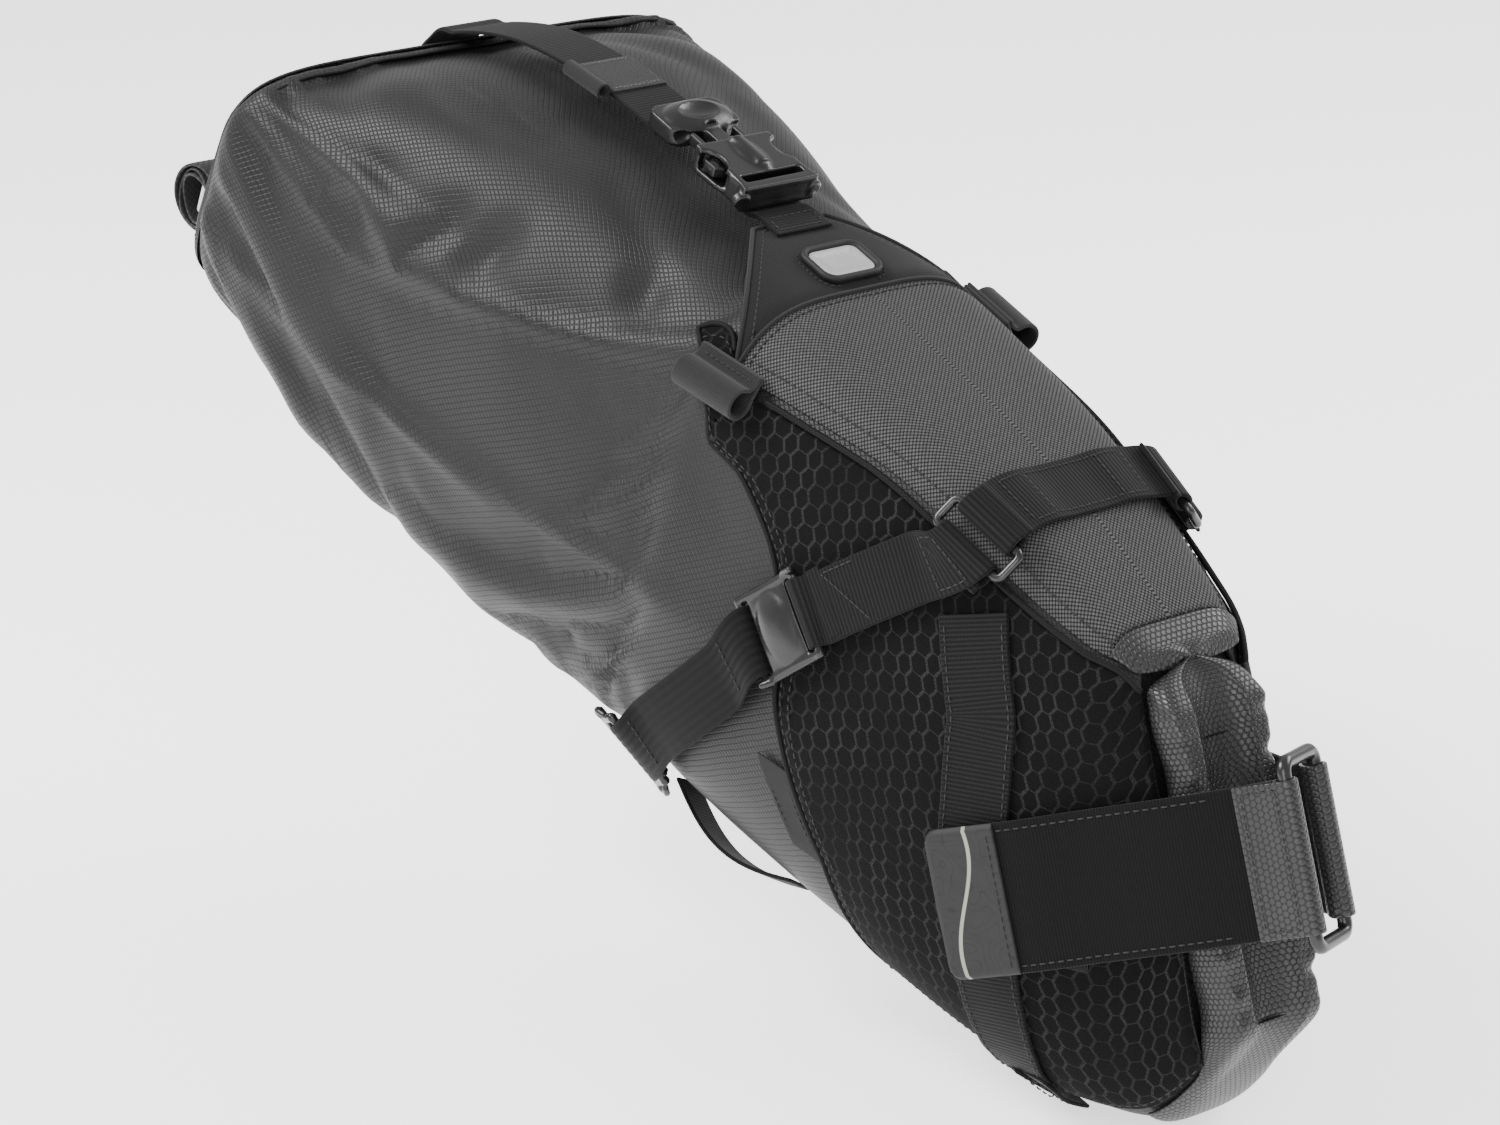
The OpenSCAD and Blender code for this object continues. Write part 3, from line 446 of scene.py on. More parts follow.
def shell(name, outer, inner, uv, look, body, replaces=(), side=RIGHT, wrap=False, rounded=0.5):
    """A closed thin solid between two grids of points. wrap joins the last column to the first;
    uv then has one more column than the grids."""
    if rounded:
        outer, inner, uv = round_border(outer, inner, uv, wrap, rounded)
    rows, cols = outer.shape[:2]
    n = rows * cols
    ids, uv_ids = number_grid(rows, cols), number_grid(*uv.shape[:2])
    if wrap:
        ids = ringed(ids)
    flat_uv = uv.reshape(-1, 2)
    faces, corners = [quads(ids), quads(ids)[:, ::-1] + n], [quads(uv_ids), quads(uv_ids)[:, ::-1]]
    borders = [(ids[0], uv_ids[0], True), (ids[-1], uv_ids[-1], False)]
    if not wrap:
        borders += [(ids[:, 0], uv_ids[:, 0], False), (ids[:, -1], uv_ids[:, -1], True)]
    for line, uv_line, flip in borders:
        f, c = rim_quads(line, line + n), rim_quads(uv_line, uv_line)
        faces.append(f[:, ::-1] if flip else f)
        corners.append(c[:, ::-1] if flip else c)
    faces = np.concatenate(faces)
    corners = np.concatenate(corners)
    points = np.concatenate([outer.reshape(-1, 3), inner.reshape(-1, 3)])
    return make(name, points, faces.tolist(), list(flat_uv[corners]), look, body, replaces, side)


def spread(count, margin):
    """Shares from 0 to 1 with a close support line at each end."""
    return np.concatenate([[0], np.linspace(margin, 1 - margin, count), [1]])


def fine_path(points, extras, step):
    """Resamples a path and the vectors along it on a smooth curve at even steps."""
    p = np.asarray(points, float)
    d = np.maximum(np.linalg.norm(np.diff(p, axis=0), axis=1), 1e-6)
    at = np.concatenate([[0], np.cumsum(d)])
    slope = np.diff(p, axis=0) / d[:, None]
    m = np.empty_like(p)
    m[0], m[-1] = slope[0], slope[-1]
    m[1:-1] = (slope[1:] * d[:-1, None] + slope[:-1] * d[1:, None]) / (d[:-1] + d[1:])[:, None]
    n = max(int(at[-1] / step * 2), 8)
    x = np.linspace(0, at[-1], n + 1)
    i = np.clip(np.searchsorted(at, x, side="right") - 1, 0, len(d) - 1)
    f = ((x - at[i]) / d[i])[:, None]
    w = d[i][:, None]
    fine = ((2 * f ** 3 - 3 * f ** 2 + 1) * p[i] + (f ** 3 - 2 * f ** 2 + f) * w * m[i]
            + (-2 * f ** 3 + 3 * f ** 2) * p[i + 1] + (f ** 3 - f ** 2) * w * m[i + 1])
    soft = smooth(f)
    extras = [np.asarray(e, float) for e in extras]
    vectors = [unit(e[i] * (1 - soft) + e[i + 1] * soft) for e in extras]
    length = way_along(fine)
    count = max(int(round(length[-1] / step)), 4)
    even = np.linspace(0, length[-1], count + 1)
    pick = lambda a: np.stack([np.interp(even, length, a[:, k]) for k in range(3)], -1)
    return pick(fine), [unit(pick(v)) for v in vectors], even


class Strap:
    """A flat strap along a path: the path is its underside, up points away from what it lies on."""

    def __init__(self, points, ups, width, thick, sides=None, step=0.5):
        extras = [ups] if sides is None else [ups, sides]
        self.line, vectors, self.way = fine_path(points, extras, step)
        tangent = unit(np.gradient(self.line, axis=0))
        if sides is None:
            up = vectors[0] - (vectors[0] * tangent).sum(-1, keepdims=True) * tangent
            self.up = unit(up)
            self.side = unit(np.cross(tangent, self.up))
        else:
            self.side = vectors[1]
            self.up = unit(np.cross(self.side, tangent))
            self.up *= np.sign((self.up * vectors[0]).sum(-1, keepdims=True))
        self.width, self.thick, self.length = width, thick, self.way[-1]

    def at(self, way, across, height):
        way, across, height = np.broadcast_arrays(way, across, height)
        pick = lambda a: np.stack([np.interp(way, self.way, a[:, k]) for k in range(3)], -1)
        return (pick(self.line) + across[..., None] * pick(self.side)
                + height[..., None] * pick(self.up))

    def up_at(self, way):
        return np.stack([np.interp(way, self.way, self.up[:, k]) for k in range(3)], -1)

    def mesh(self, name, look, body, replaces=(), side=RIGHT, ribs=1.5, rib_height=0.13,
             lengthwise=0):
        if lengthwise:
            shares = np.linspace(-0.99, 0.99, lengthwise * 6 + 1)
        else:
            shares = np.array([-0.985, -0.93, -0.6, -0.25, 0, 0.25, 0.6, 0.93, 0.985])
        u = np.tile(self.width / 2 * shares, (len(self.way), 1))
        wave = np.cos(2 * np.pi * self.way / ribs)[:, None] * rib_height / 2
        fade = (np.abs(shares) < 0.95)[None, :]
        if lengthwise:
            wave = np.cos(np.pi * lengthwise * (shares + 1)) * -rib_height / 2 * np.ones_like(u)
        wave = wave * fade
        grid = lambda h: (self.line[:, None] + u[..., None] * self.side[:, None]
                          + h[..., None] * self.up[:, None])
        top, low = self.thick + wave, -wave * 0.6
        uv = np.stack([u, np.broadcast_to(self.way[:, None], u.shape)], -1)
        return shell(name, grid(top), grid(low), uv, look, body, replaces, side, rounded=0.5)


TUBE_STEP = 1.5


def tube(name, points, ups, radius, look, body, replaces=(), side=RIGHT, sides=10, closed=False):
    """A round cord or wire along a path."""
    if closed:
        line, up = np.asarray(points, float), unit(ups)
        way = way_along(line)
        tangent = unit(np.roll(line, -1, 0) - np.roll(line, 1, 0))
    else:
        line, (up,), way = fine_path(points, [ups], TUBE_STEP)
        tangent = unit(np.gradient(line, axis=0))
    across = unit(np.cross(tangent, up))
    up = np.cross(across, tangent)
    a = np.linspace(0, 2 * np.pi, sides, endpoint=False)
    ring = np.cos(a)[:, None, None] * across + np.sin(a)[:, None, None] * up
    grid = (line + radius * ring).transpose(1, 0, 2)
    ids, uv_ids = ringed(number_grid(len(line), sides)), number_grid(len(line), sides + 1)
    round_way = np.linspace(0, 2 * np.pi * radius, sides + 1)
    uv_grid = np.stack(np.meshgrid(way, round_way, indexing="ij")[::-1], -1)
    if closed:
        ids = np.concatenate([ids, ids[:1]], 0)
        uv_ids = np.concatenate([uv_ids, uv_ids[-1:]], 0)
    faces, corners = quads(ids).tolist(), list(uv_grid.reshape(-1, 2)[quads(uv_ids)])
    if not closed:
        faces += caps(ids)
        corners += [np.zeros((sides, 2)), np.zeros((sides, 2))]
    make(name, grid.reshape(-1, 3), faces, corners, look, body, replaces, side)


class Threads:
    """Stitches, gathered into one piece for each body."""

    def __init__(self):
        self.points, self.faces = [], []

    def line(self, points, ups, pitch=3.2, length=2.3, radius=0.33, sink=0.1, side=RIGHT):
        line, (up,), way = fine_path(points, [ups], 0.6)
        pick = lambda a, w: np.array([np.interp(w, way, a[:, k]) for k in range(3)])
        for start in np.arange(pitch * 0.3, way[-1] - length * 0.5, pitch):
            a, b = pick(line, start), pick(line, min(start + length, way[-1]))
            u = unit(pick(up, start))
            self.stitch(a, b, u, radius, sink, side)

    def stitch(self, a, b, up, radius, sink, side):
        lead = b - a
        across = unit(np.cross(lead, up))
        rows = []
        for share, size in ((0.0, 0.35), (0.12, 0.85), (0.5, 1.0), (0.88, 0.85), (1.0, 0.35)):
            rise = radius * (0.9 * math.sin(math.pi * share) - 0.15) - sink
            for k in range(6):
                c = math.cos(math.pi / 3 * k) * radius * size
                n = math.sin(math.pi / 3 * k) * radius * size
                rows.append(a + share * lead + c * across + (n + rise) * up)
        base = len(self.points)
        points = np.array(rows)
        points[:, 1] *= side
        self.points.extend(points)
        flip = side < 0
        for r in range(4):
            for k in range(6):
                q = [base + r * 6 + k, base + r * 6 + (k + 1) % 6,
                     base + r * 6 + 6 + (k + 1) % 6, base + r * 6 + 6 + k]
                self.faces.append(q[::-1] if flip else q)
        ends = [[base + k for k in range(5, -1, -1)], [base + 24 + k for k in range(6)]]
        self.faces.extend([e[::-1] for e in ends] if flip else ends)

    def mesh(self, name, body):
        return make(name, self.points, self.faces, None, None, body)


THREADS = {}


def sew(body, points, ups, side=RIGHT, **style):
    THREADS.setdefault(body, Threads()).line(points, ups, side=side, **style)


def sew_skin(s, t, height, side=RIGHT, soft=True, **style):
    """Stitches on what covers the bag, at a height over it."""
    sew("bag", lift(s, t, height, soft), normal(s, t), side, **style)


def sew_strap(body, strap, way, across, side=RIGHT, height=0.05, **style):
    """Stitches on a strap's face, between points given by their way along and across it."""
    way, across = np.broadcast_arrays(np.asarray(way, float), across)
    sew(body, strap.at(way, across, strap.thick + height), strap.up_at(way), side, **style)


# ---------------------------------------------------------------- moulded pieces

def prism(outline, low, high):
    n = len(outline)
    points = [(x, y, low) for x, y in outline] + [(x, y, high) for x, y in outline]
    faces = [list(range(n))[::-1], [n + i for i in range(n)]]
    faces += [[i, (i + 1) % n, n + (i + 1) % n, n + i] for i in range(n)]
    return points, faces


def block(low, high):
    (x0, y0, z0), (x1, y1, z1) = low, high
    return prism([(x0, y0), (x1, y0), (x1, y1), (x0, y1)], z0, z1)


def rod(a, b, radius):
    """A round bar between two points."""
    sides = 20
    a, b = np.asarray(a, float), np.asarray(b, float)
    lead = unit(b - a)
    helper = np.array([0, 0, 1.0]) if abs(lead[2]) < 0.9 else np.array([1.0, 0, 0])
    x = unit(np.cross(helper, lead))
    y = np.cross(lead, x)
    angles = np.linspace(0, 2 * np.pi, sides, endpoint=False)
    ring = radius * (np.cos(angles)[:, None] * x + np.sin(angles)[:, None] * y)
    points = np.concatenate([a + ring, b + ring]).tolist()
    faces = [list(range(sides))[::-1], [sides + i for i in range(sides)]]
    faces += [[i, (i + 1) % sides, sides + (i + 1) % sides, sides + i] for i in range(sides)]
    return points, faces


def ball(centre, size):
    """An ellipsoid with half sizes in x, y and z."""
    rings, sides = 14, 24
    points, faces = [], []
    for r in range(1, rings):
        a = math.pi * r / rings
        for k in range(sides):
            b = 2 * math.pi * k / sides
            points.append([centre[0] + size[0] * math.sin(a) * math.cos(b),
                           centre[1] + size[1] * math.sin(a) * math.sin(b),
                           centre[2] + size[2] * math.cos(a)])
    for r in range(rings - 2):
        for k in range(sides):
            i, j = r * sides + k, r * sides + (k + 1) % sides
            faces.append([i, i + sides, j + sides, j])
    top, low = len(points), len(points) + 1
    points += [[centre[0], centre[1], centre[2] + h] for h in (size[2], -size[2])]
    end = (rings - 2) * sides
    for k in range(sides):
        faces.append([top, k, (k + 1) % sides])
        faces.append([low, end + (k + 1) % sides, end + k])
    return points, faces


def rounded_outline(x0, x1, half, radius):
    steps = 6
    points = []
    for cx, cy, start in ((x1 - radius, half - radius, 0), (x0 + radius, half - radius, 90),
                          (x0 + radius, -half + radius, 180), (x1 - radius, -half + radius, 270)):
        for k in range(steps + 1):
            a = math.radians(start + 90 * k / steps)
            points.append((cx + radius * math.cos(a), cy + radius * math.sin(a)))
    return points


def temporary(parts):
    points, faces = [], []
    for p, f in parts:
        base = len(points)
        points += [list(map(float, q)) for q in p]
        faces += [[base + i for i in face] for face in f]
    return add_mesh("part", points, faces)


def settle(piece):
    """Applies a piece's modifiers."""
    graph = bpy.context.evaluated_depsgraph_get()
    mesh = bpy.data.meshes.new_from_object(piece.evaluated_get(graph))
    piece.modifiers.clear()
    piece.data = mesh


def remesh(piece, voxel, rounds):
    step = piece.modifiers.new("remesh", "REMESH")
    step.mode = "VOXEL"
    step.voxel_size = voxel
    soft = piece.modifiers.new("smooth", "SMOOTH")
    soft.iterations = rounds
    soft.factor = 0.5
    settle(piece)


def moulded(name, adds, cuts, place, look, body, side=RIGHT, voxel=0.42, rounds=5, bend=None):
    """A moulded piece: solids joined, others cut away, and all its edges softened."""
    piece = temporary(adds)
    remesh(piece, voxel, 1)
    if cuts:
        cutter = temporary(cuts)
        remesh(cutter, voxel, 0)
        take = piece.modifiers.new("cut", "BOOLEAN")
        take.operation = "DIFFERENCE"
        take.solver = "EXACT"
        take.object = cutter
        settle(piece)
        bpy.data.objects.remove(cutter)
    remesh(piece, voxel, rounds)
    co = np.empty(len(piece.data.vertices) * 3)
    piece.data.vertices.foreach_get("co", co)
    points = co.reshape(-1, 3)
    if bend is not None:
        points = bend(points)
    points = place.at(points)
    faces = [list(p.vertices) for p in piece.data.polygons]
    bpy.data.objects.remove(piece)
    make(name, points, faces, None, look, body, (name,), side)


# ---------------------------------------------------------------- materials

class Look:
    """A node material under construction."""

    def __init__(self, name):
        self.material = bpy.data.materials.new(name)
        self.material.use_nodes = True
        self.tree = self.material.node_tree
        self.tree.nodes.clear()
        self.shader = self.node("ShaderNodeBsdfPrincipled")
        out = self.node("ShaderNodeOutputMaterial")
        self.tree.links.new(self.shader.outputs[0], out.inputs["Surface"])

    def node(self, kind, *inputs, **settings):
        made = self.tree.nodes.new(kind)
        for key, value in settings.items():
            setattr(made, key, value)
        for i, value in enumerate(inputs):
            self.put(made.inputs[i], value)
        return made

    def put(self, socket, value):
        if isinstance(value, bpy.types.NodeSocket):
            self.tree.links.new(value, socket)
        elif value is not None:
            socket.default_value = value

    def math(self, operation, *values):
        return self.node("ShaderNodeMath", *values, operation=operation).outputs[0]

    def times(self, a, b):
        return self.math("MULTIPLY", a, b)

    def plus(self, a, b):
        return self.math("ADD", a, b)

    def vector(self, operation, *values):
        made = self.node("ShaderNodeVectorMath", *values, operation=operation)
        return made.outputs["Value" if operation in ("LENGTH", "DOT_PRODUCT") else "Vector"]

    def scaled(self, vector, size):
        return self.vector("MULTIPLY", vector, size)

    def cloth(self):
        """The cloth's own coordinates in mm: across and along."""
        return self.node("ShaderNodeUVMap", uv_map="cloth").outputs[0]

    def place(self):
        """The place on the piece, in mm."""
        made = self.node("ShaderNodeTexCoord")
        return self.scaled(made.outputs["Object"], (1000, 1000, 1000))

    def parts(self, vector):
        made = self.node("ShaderNodeSeparateXYZ", vector)
        return made.outputs[0], made.outputs[1]

    def join(self, x, y):
        return self.node("ShaderNodeCombineXYZ", x, y, 0.0).outputs[0]

    def step(self, value, low, high, bottom=0.0, top=1.0):
        made = self.node("ShaderNodeMapRange", value, low, high, bottom, top)
        made.interpolation_type = "SMOOTHSTEP"
        return made.outputs[0]

    def noise(self, vector, size, detail=2.0, rough=0.5):
        """Cloudy noise from 0 to 1 whose patches are about size mm across."""
        made = self.node("ShaderNodeTexNoise")
        self.put(made.inputs["Vector"], vector)
        made.inputs["Scale"].default_value = 1.0 / size
        made.inputs["Detail"].default_value = detail
        made.inputs["Roughness"].default_value = rough
        return made.outputs["Fac"]

    def wave(self, value, pitch):
        """A ridge of height 1 at every pitch, with valleys between."""
        turned = self.times(value, 2 * math.pi / pitch)
        return self.math("MULTIPLY_ADD", self.math("COSINE", turned), 0.5, 0.5)

    def line(self, value, pitch, width):
        """1 on a thin line at every pitch."""
        gap = self.math("PINGPONG", value, pitch / 2)
        return self.step(gap, 0.0, width, 1.0, 0.0)

    def mix(self, share, a, b):
        made = self.node("ShaderNodeMix", data_type="RGBA")
        for key, kind, value in (("Factor", "VALUE", share), ("A", "RGBA", a), ("B", "RGBA", b)):
            socket = [s for s in made.inputs if s.name == key and s.type == kind][0]
            if isinstance(value, (int, float)) and kind == "RGBA":
                value = (value, value, value * 1.02, 1)
            self.put(socket, value)
        return [s for s in made.outputs if s.type == "RGBA"][0]

    def finish(self, colour, rough, height=None, depth=0.1, strength=1.0, **sockets):
        self.put(self.shader.inputs["Base Color"], colour)
        self.put(self.shader.inputs["Roughness"], rough)
        for key, value in sockets.items():
            self.shader.inputs[key.replace("_", " ")].default_value = value
        if height is not None:
            bump = self.node("ShaderNodeBump")
            bump.inputs["Strength"].default_value = strength
            bump.inputs["Distance"].default_value = depth * MM
            self.put(bump.inputs["Height"], height)
            self.put(self.shader.inputs["Normal"], bump.outputs[0])
        return self.material


def look_ripstop(k):
    p = k.cloth()
    u, v = k.parts(p)
    stray = k.times(k.noise(p, 9.0), 0.9)
    a = k.plus(k.plus(u, k.times(v, 0.8)), stray)
    b = k.math("SUBTRACT", k.math("SUBTRACT", u, k.times(v, 0.8)), stray)
    grid = k.math("MAXIMUM", k.line(a, 2.4, 0.52), k.line(b, 2.4, 0.52))
    cloud = k.noise(p, 60.0, 3.0)
    grain = k.noise(p, 0.7, 2.0)
    base = k.mix(k.step(cloud, 0.3, 0.7), 0.012, 0.018)
    colour = k.mix(k.times(grid, 0.62), base, 0.003)
    rough = k.plus(k.step(cloud, 0.25, 0.75, 0.36, 0.46), k.times(grid, 0.14))
    height = k.math("SUBTRACT", k.times(grain, 0.12), grid)
    return k.finish(colour, rough, height, 0.14, 0.8, Specular_IOR_Level=0.19)


def hexagons(k, p, cell):
    """Distance from the middle of a honeycomb cell: 0 there, 0.5 on its wall."""
    q = k.scaled(p, (1 / cell, 1 / cell, 0))
    ratio = (1.0, math.sqrt(3.0), 1.0)
    half = (0.5, math.sqrt(3.0) / 2, 0.5)
    far = k.vector("ADD", q, (1000.0 * ratio[0], 1000.0 * ratio[1], 0))
    a = k.vector("SUBTRACT", k.vector("MODULO", far, ratio), half)
    b = k.vector("SUBTRACT", k.vector("MODULO", k.vector("ADD", far, half), ratio), half)
    nearer = k.math("LESS_THAN", k.vector("DOT_PRODUCT", a, a), k.vector("DOT_PRODUCT", b, b))
    pick = k.node("ShaderNodeMix", data_type="VECTOR")
    sockets = [s for s in pick.inputs if s.type == "VECTOR"]
    k.put([s for s in pick.inputs if s.name == "Factor" and s.type == "VALUE"][0], nearer)
    k.put([s for s in sockets if s.name == "A"][0], b)
    k.put([s for s in sockets if s.name == "B"][0], a)
    g = k.vector("ABSOLUTE", [s for s in pick.outputs if s.type == "VECTOR"][0])
    slanted = k.vector("DOT_PRODUCT", g, (0.5, math.sqrt(3.0) / 2, 0))
    return k.math("MAXIMUM", slanted, k.parts(g)[0])


def dots(k, p, pitch, stretch, low, high):
    """Round dots in staggered rows."""
    half, size = (0.5, 0.5, 0), (1, stretch, 0)
    q = k.scaled(p, (1 / pitch, 1 / (pitch * stretch), 0))
    a, b = (k.vector("LENGTH", k.scaled(k.vector("SUBTRACT", k.vector("FRACTION", x), half), size))
            for x in (q, k.vector("ADD", q, half)))
    near = k.math("MINIMUM", a, b)
    return k.step(near, low, high, 1.0, 0.0)


def look_side(k):
    p = k.cloth()
    u, v = k.parts(p)
    stray = k.noise(p, 2.2, 2.0)
    moved = k.vector("ADD", p, k.scaled(k.join(stray, stray), (0.5, 0.5, 0)))
    wall = k.step(hexagons(k, moved, 6.8), 0.455, 0.492)
    twill = k.wave(k.plus(u, v), 0.62)
    patch = k.step(k.noise(p, 34.0, 2.0), 0.3, 0.7, 0.35, 1.0)
    broken = k.step(k.noise(p, 0.55, 1.0), 0.35, 0.6, 0.3, 1.0)
    thread = k.times(wall, k.times(broken, patch))
    ground = k.mix(k.times(twill, k.noise(p, 1.1)), 0.002, 0.006)
    colour = k.mix(k.times(thread, 0.75), ground, 0.026)
    height = k.plus(k.times(twill, 0.5), k.times(wall, 0.4))
    return k.finish(colour, 0.86, height, 0.09, 0.8, Specular_IOR_Level=0.06, Sheen_Weight=0.02,
                    Sheen_Roughness=0.5)


def look_top(k):
    p = k.cloth()
    u, v = k.parts(p)
    knot = dots(k, p, 1.75, 1.0, 0.20, 0.36)
    weave = k.times(k.wave(u, 0.58), k.wave(v, 0.58))
    tone = k.noise(p, 26.0, 3.0)
    ground = k.mix(tone, 0.007, 0.011)
    lit = k.mix(k.noise(p, 1.9, 1.0), 0.040, 0.095)
    colour = k.mix(k.times(knot, 0.9), ground, lit)
    height = k.plus(knot, k.times(weave, 0.35))
    rough = k.step(knot, 0, 1, 0.72, 0.50)
    return k.finish(colour, rough, height, 0.16, 0.9, Specular_IOR_Level=0.12)


def look_twill(k):
    p = k.cloth()
    u, v = k.parts(p)
    twill = k.wave(k.plus(u, k.times(v, 0.55)), 0.8)
    fleck = k.noise(p, 0.6, 2.0)
    colour = k.mix(k.times(twill, fleck), 0.005, 0.019)
    return k.finish(colour, 0.85, k.plus(twill, k.times(fleck, 0.6)), 0.10, 0.8,
                    Specular_IOR_Level=0.08, Sheen_Weight=0.05)


def look_coated(k):
    p = k.cloth()
    dot = dots(k, p, 2.3, math.sqrt(3.0), 0.30, 0.50)
    tone = k.noise(p, 22.0, 3.0)
    colour = k.mix(dot, 0.004, k.mix(tone, 0.014, 0.026))
    rough = k.step(k.plus(dot, k.times(tone, 0.4)), 0.0, 1.3, 0.52, 0.30)
    height = k.plus(dot, k.times(k.noise(p, 1.0), 0.12))
    return k.finish(colour, rough, height, 0.20, 0.9, Specular_IOR_Level=0.3)


def look_ribbed(k, dark, light, pitch, rough, along_u=False, sheen=0.04):
    p = k.cloth()
    u, v = k.parts(p)
    rib = k.wave(u if along_u else v, pitch)
    thread = k.wave(v if along_u else u, 0.55)
    fleck = k.noise(p, 0.8, 2.0)
    share = k.times(rib, k.math("MULTIPLY_ADD", thread, 0.55, k.times(fleck, 0.5)))
    colour = k.mix(k.step(share, 0.0, 0.85), dark, light)
    height = k.plus(k.times(rib, 0.6), k.times(thread, 0.4))
    return k.finish(colour, rough, height, 0.12, 0.8, Specular_IOR_Level=0.08, Sheen_Weight=sheen)


def look_nap(k):
    p = k.cloth()
    fuzz = k.noise(p, 0.45, 3.0, 0.7)
    patch = k.noise(p, 5.0, 2.0)
    colour = k.mix(k.times(fuzz, patch), 0.003, 0.018)
    return k.finish(colour, 0.95, fuzz, 0.30, 1.0, Specular_IOR_Level=0.15, Sheen_Weight=0.1)


def look_binding(k):
    p = k.cloth()
    u, v = k.parts(p)
    rib = k.wave(k.plus(u, v), 0.7)
    colour = k.mix(k.times(rib, k.noise(p, 1.0)), 0.002, 0.008)
    return k.finish(colour, 0.6, rib, 0.08, 0.8, Specular_IOR_Level=0.12)


def look_sheet(k):
    p = k.place()
    grain = k.noise(p, 1.4, 3.0)
    colour = k.mix(k.noise(p, 30.0), (0.50, 0.50, 0.48, 1), (0.62, 0.62, 0.60, 1))
    return k.finish(colour, k.step(grain, 0.2, 0.8, 0.42, 0.55), grain, 0.05, 0.6)


def look_plastic(k, dark, light, rough):
    p = k.place()
    grain = k.noise(p, 0.5, 3.0)
    cloud = k.noise(p, 8.0, 2.0)
    edge = k.node("ShaderNodeNewGeometry").outputs["Pointiness"]
    worn = k.times(k.step(edge, 0.53, 0.62), k.noise(p, 2.0))
    colour = k.mix(worn, k.mix(cloud, dark, light), 0.05)
    return k.finish(colour, k.step(cloud, 0.3, 0.7, rough, rough + 0.10), grain, 0.035, 0.6,
                    Specular_IOR_Level=0.38)


def look_rubber(k):
    p = k.place()
    grain = k.noise(p, 0.35, 3.0)
    colour = k.mix(k.noise(p, 6.0), 0.005, 0.009)
    return k.finish(colour, 0.62, grain, 0.04, 0.6, Specular_IOR_Level=0.3)


def look_badge_face(k):
    p = k.place()
    brushed = k.noise(k.scaled(p, (0.3, 4.0, 1.0)), 1.0, 3.0)
    colour = k.mix(brushed, (0.24, 0.24, 0.245, 1), (0.38, 0.38, 0.385, 1))
    return k.finish(colour, k.step(brushed, 0.2, 0.8, 0.35, 0.5), brushed, 0.03, 0.5, Metallic=0.3)


def look_tab(k):
    """Grey rubber with faint contour lines and one pale curved stripe."""
    p = k.cloth()
    u, v = k.parts(p)
    hills = k.noise(p, 17.0, 1.0)
    contour = k.line(hills, 0.075, 0.006)
    curve = k.math("MULTIPLY_ADD", k.math("SINE", k.times(u, 0.085)), 5.0, 11.0)
    away = k.math("ABSOLUTE", k.math("SUBTRACT", v, curve))
    stripe = k.step(away, 0.55, 0.85, 1.0, 0.0)
    ground = k.mix(k.times(contour, 0.5), k.mix(k.noise(p, 6.0), 0.016, 0.022), 0.007)
    colour = k.mix(stripe, ground, (0.22, 0.22, 0.19, 1))
    height = k.plus(stripe, k.times(k.noise(p, 0.4), 0.25))
    return k.finish(colour, 0.55, height, 0.08, 0.7, Specular_IOR_Level=0.15)


def look_label(k):
    p = k.cloth()
    u, v = k.parts(p)
    weave = k.times(k.wave(u, 0.5), k.wave(v, 0.5))
    return k.finish(k.mix(weave, 0.008, 0.020), 0.8, weave, 0.05, 0.8, Specular_IOR_Level=0.25)


def look_thread(k, dark, light, rough):
    twist = k.noise(k.place(), 0.4, 2.0)
    return k.finish(k.mix(twist, dark, light), rough, twist, 0.06, 0.8, Specular_IOR_Level=0.3)


LOOKS = {
    "ripstop": look_ripstop, "side_fabric": look_side, "top_fabric": look_top,
    "tongue_fabric": look_twill, "coated_fabric": look_coated, "fastener_tape": look_nap,
    "binding": look_binding, "stiffener_sheet": look_sheet, "badge_rubber": look_rubber,
    "badge_face": look_badge_face, "tab_rubber": look_tab, "label_fabric": look_label,
    "webbing": lambda k: look_ribbed(k, 0.002, 0.012, 1.5, 0.62),
    "loop_webbing": lambda k: look_ribbed(k, 0.009, 0.030, 0.7, 0.78, sheen=0.08),
    "elastic_webbing": lambda k: look_ribbed(k, 0.001, 0.004, 3.0, 0.7, along_u=True),
    "band_webbing": lambda k: look_ribbed(k, 0.0015, 0.006, 1.1, 0.78, sheen=0.06),
    "buckle_plastic": lambda k: look_plastic(k, 0.003, 0.006, 0.26),
    "hardware": lambda k: look_plastic(k, 0.006, 0.012, 0.20),
    "thread": lambda k: look_thread(k, 0.005, 0.022, 0.7),
    "pale_thread": lambda k: look_thread(k, 0.040, 0.110, 0.75),
}
MADE = {}


def material(name):
    if name not in MADE:
        MADE[name] = LOOKS[name](Look(name))
    return MADE[name]


# ---------------------------------------------------------------- the bag's own fabric

def grid_normals(grid, wrap):
    if wrap:
        turn = np.roll(grid, -1, 1) - np.roll(grid, 1, 1)
    else:
        turn = np.gradient(grid, axis=1)
    return unit(np.cross(turn, np.gradient(grid, axis=0)))


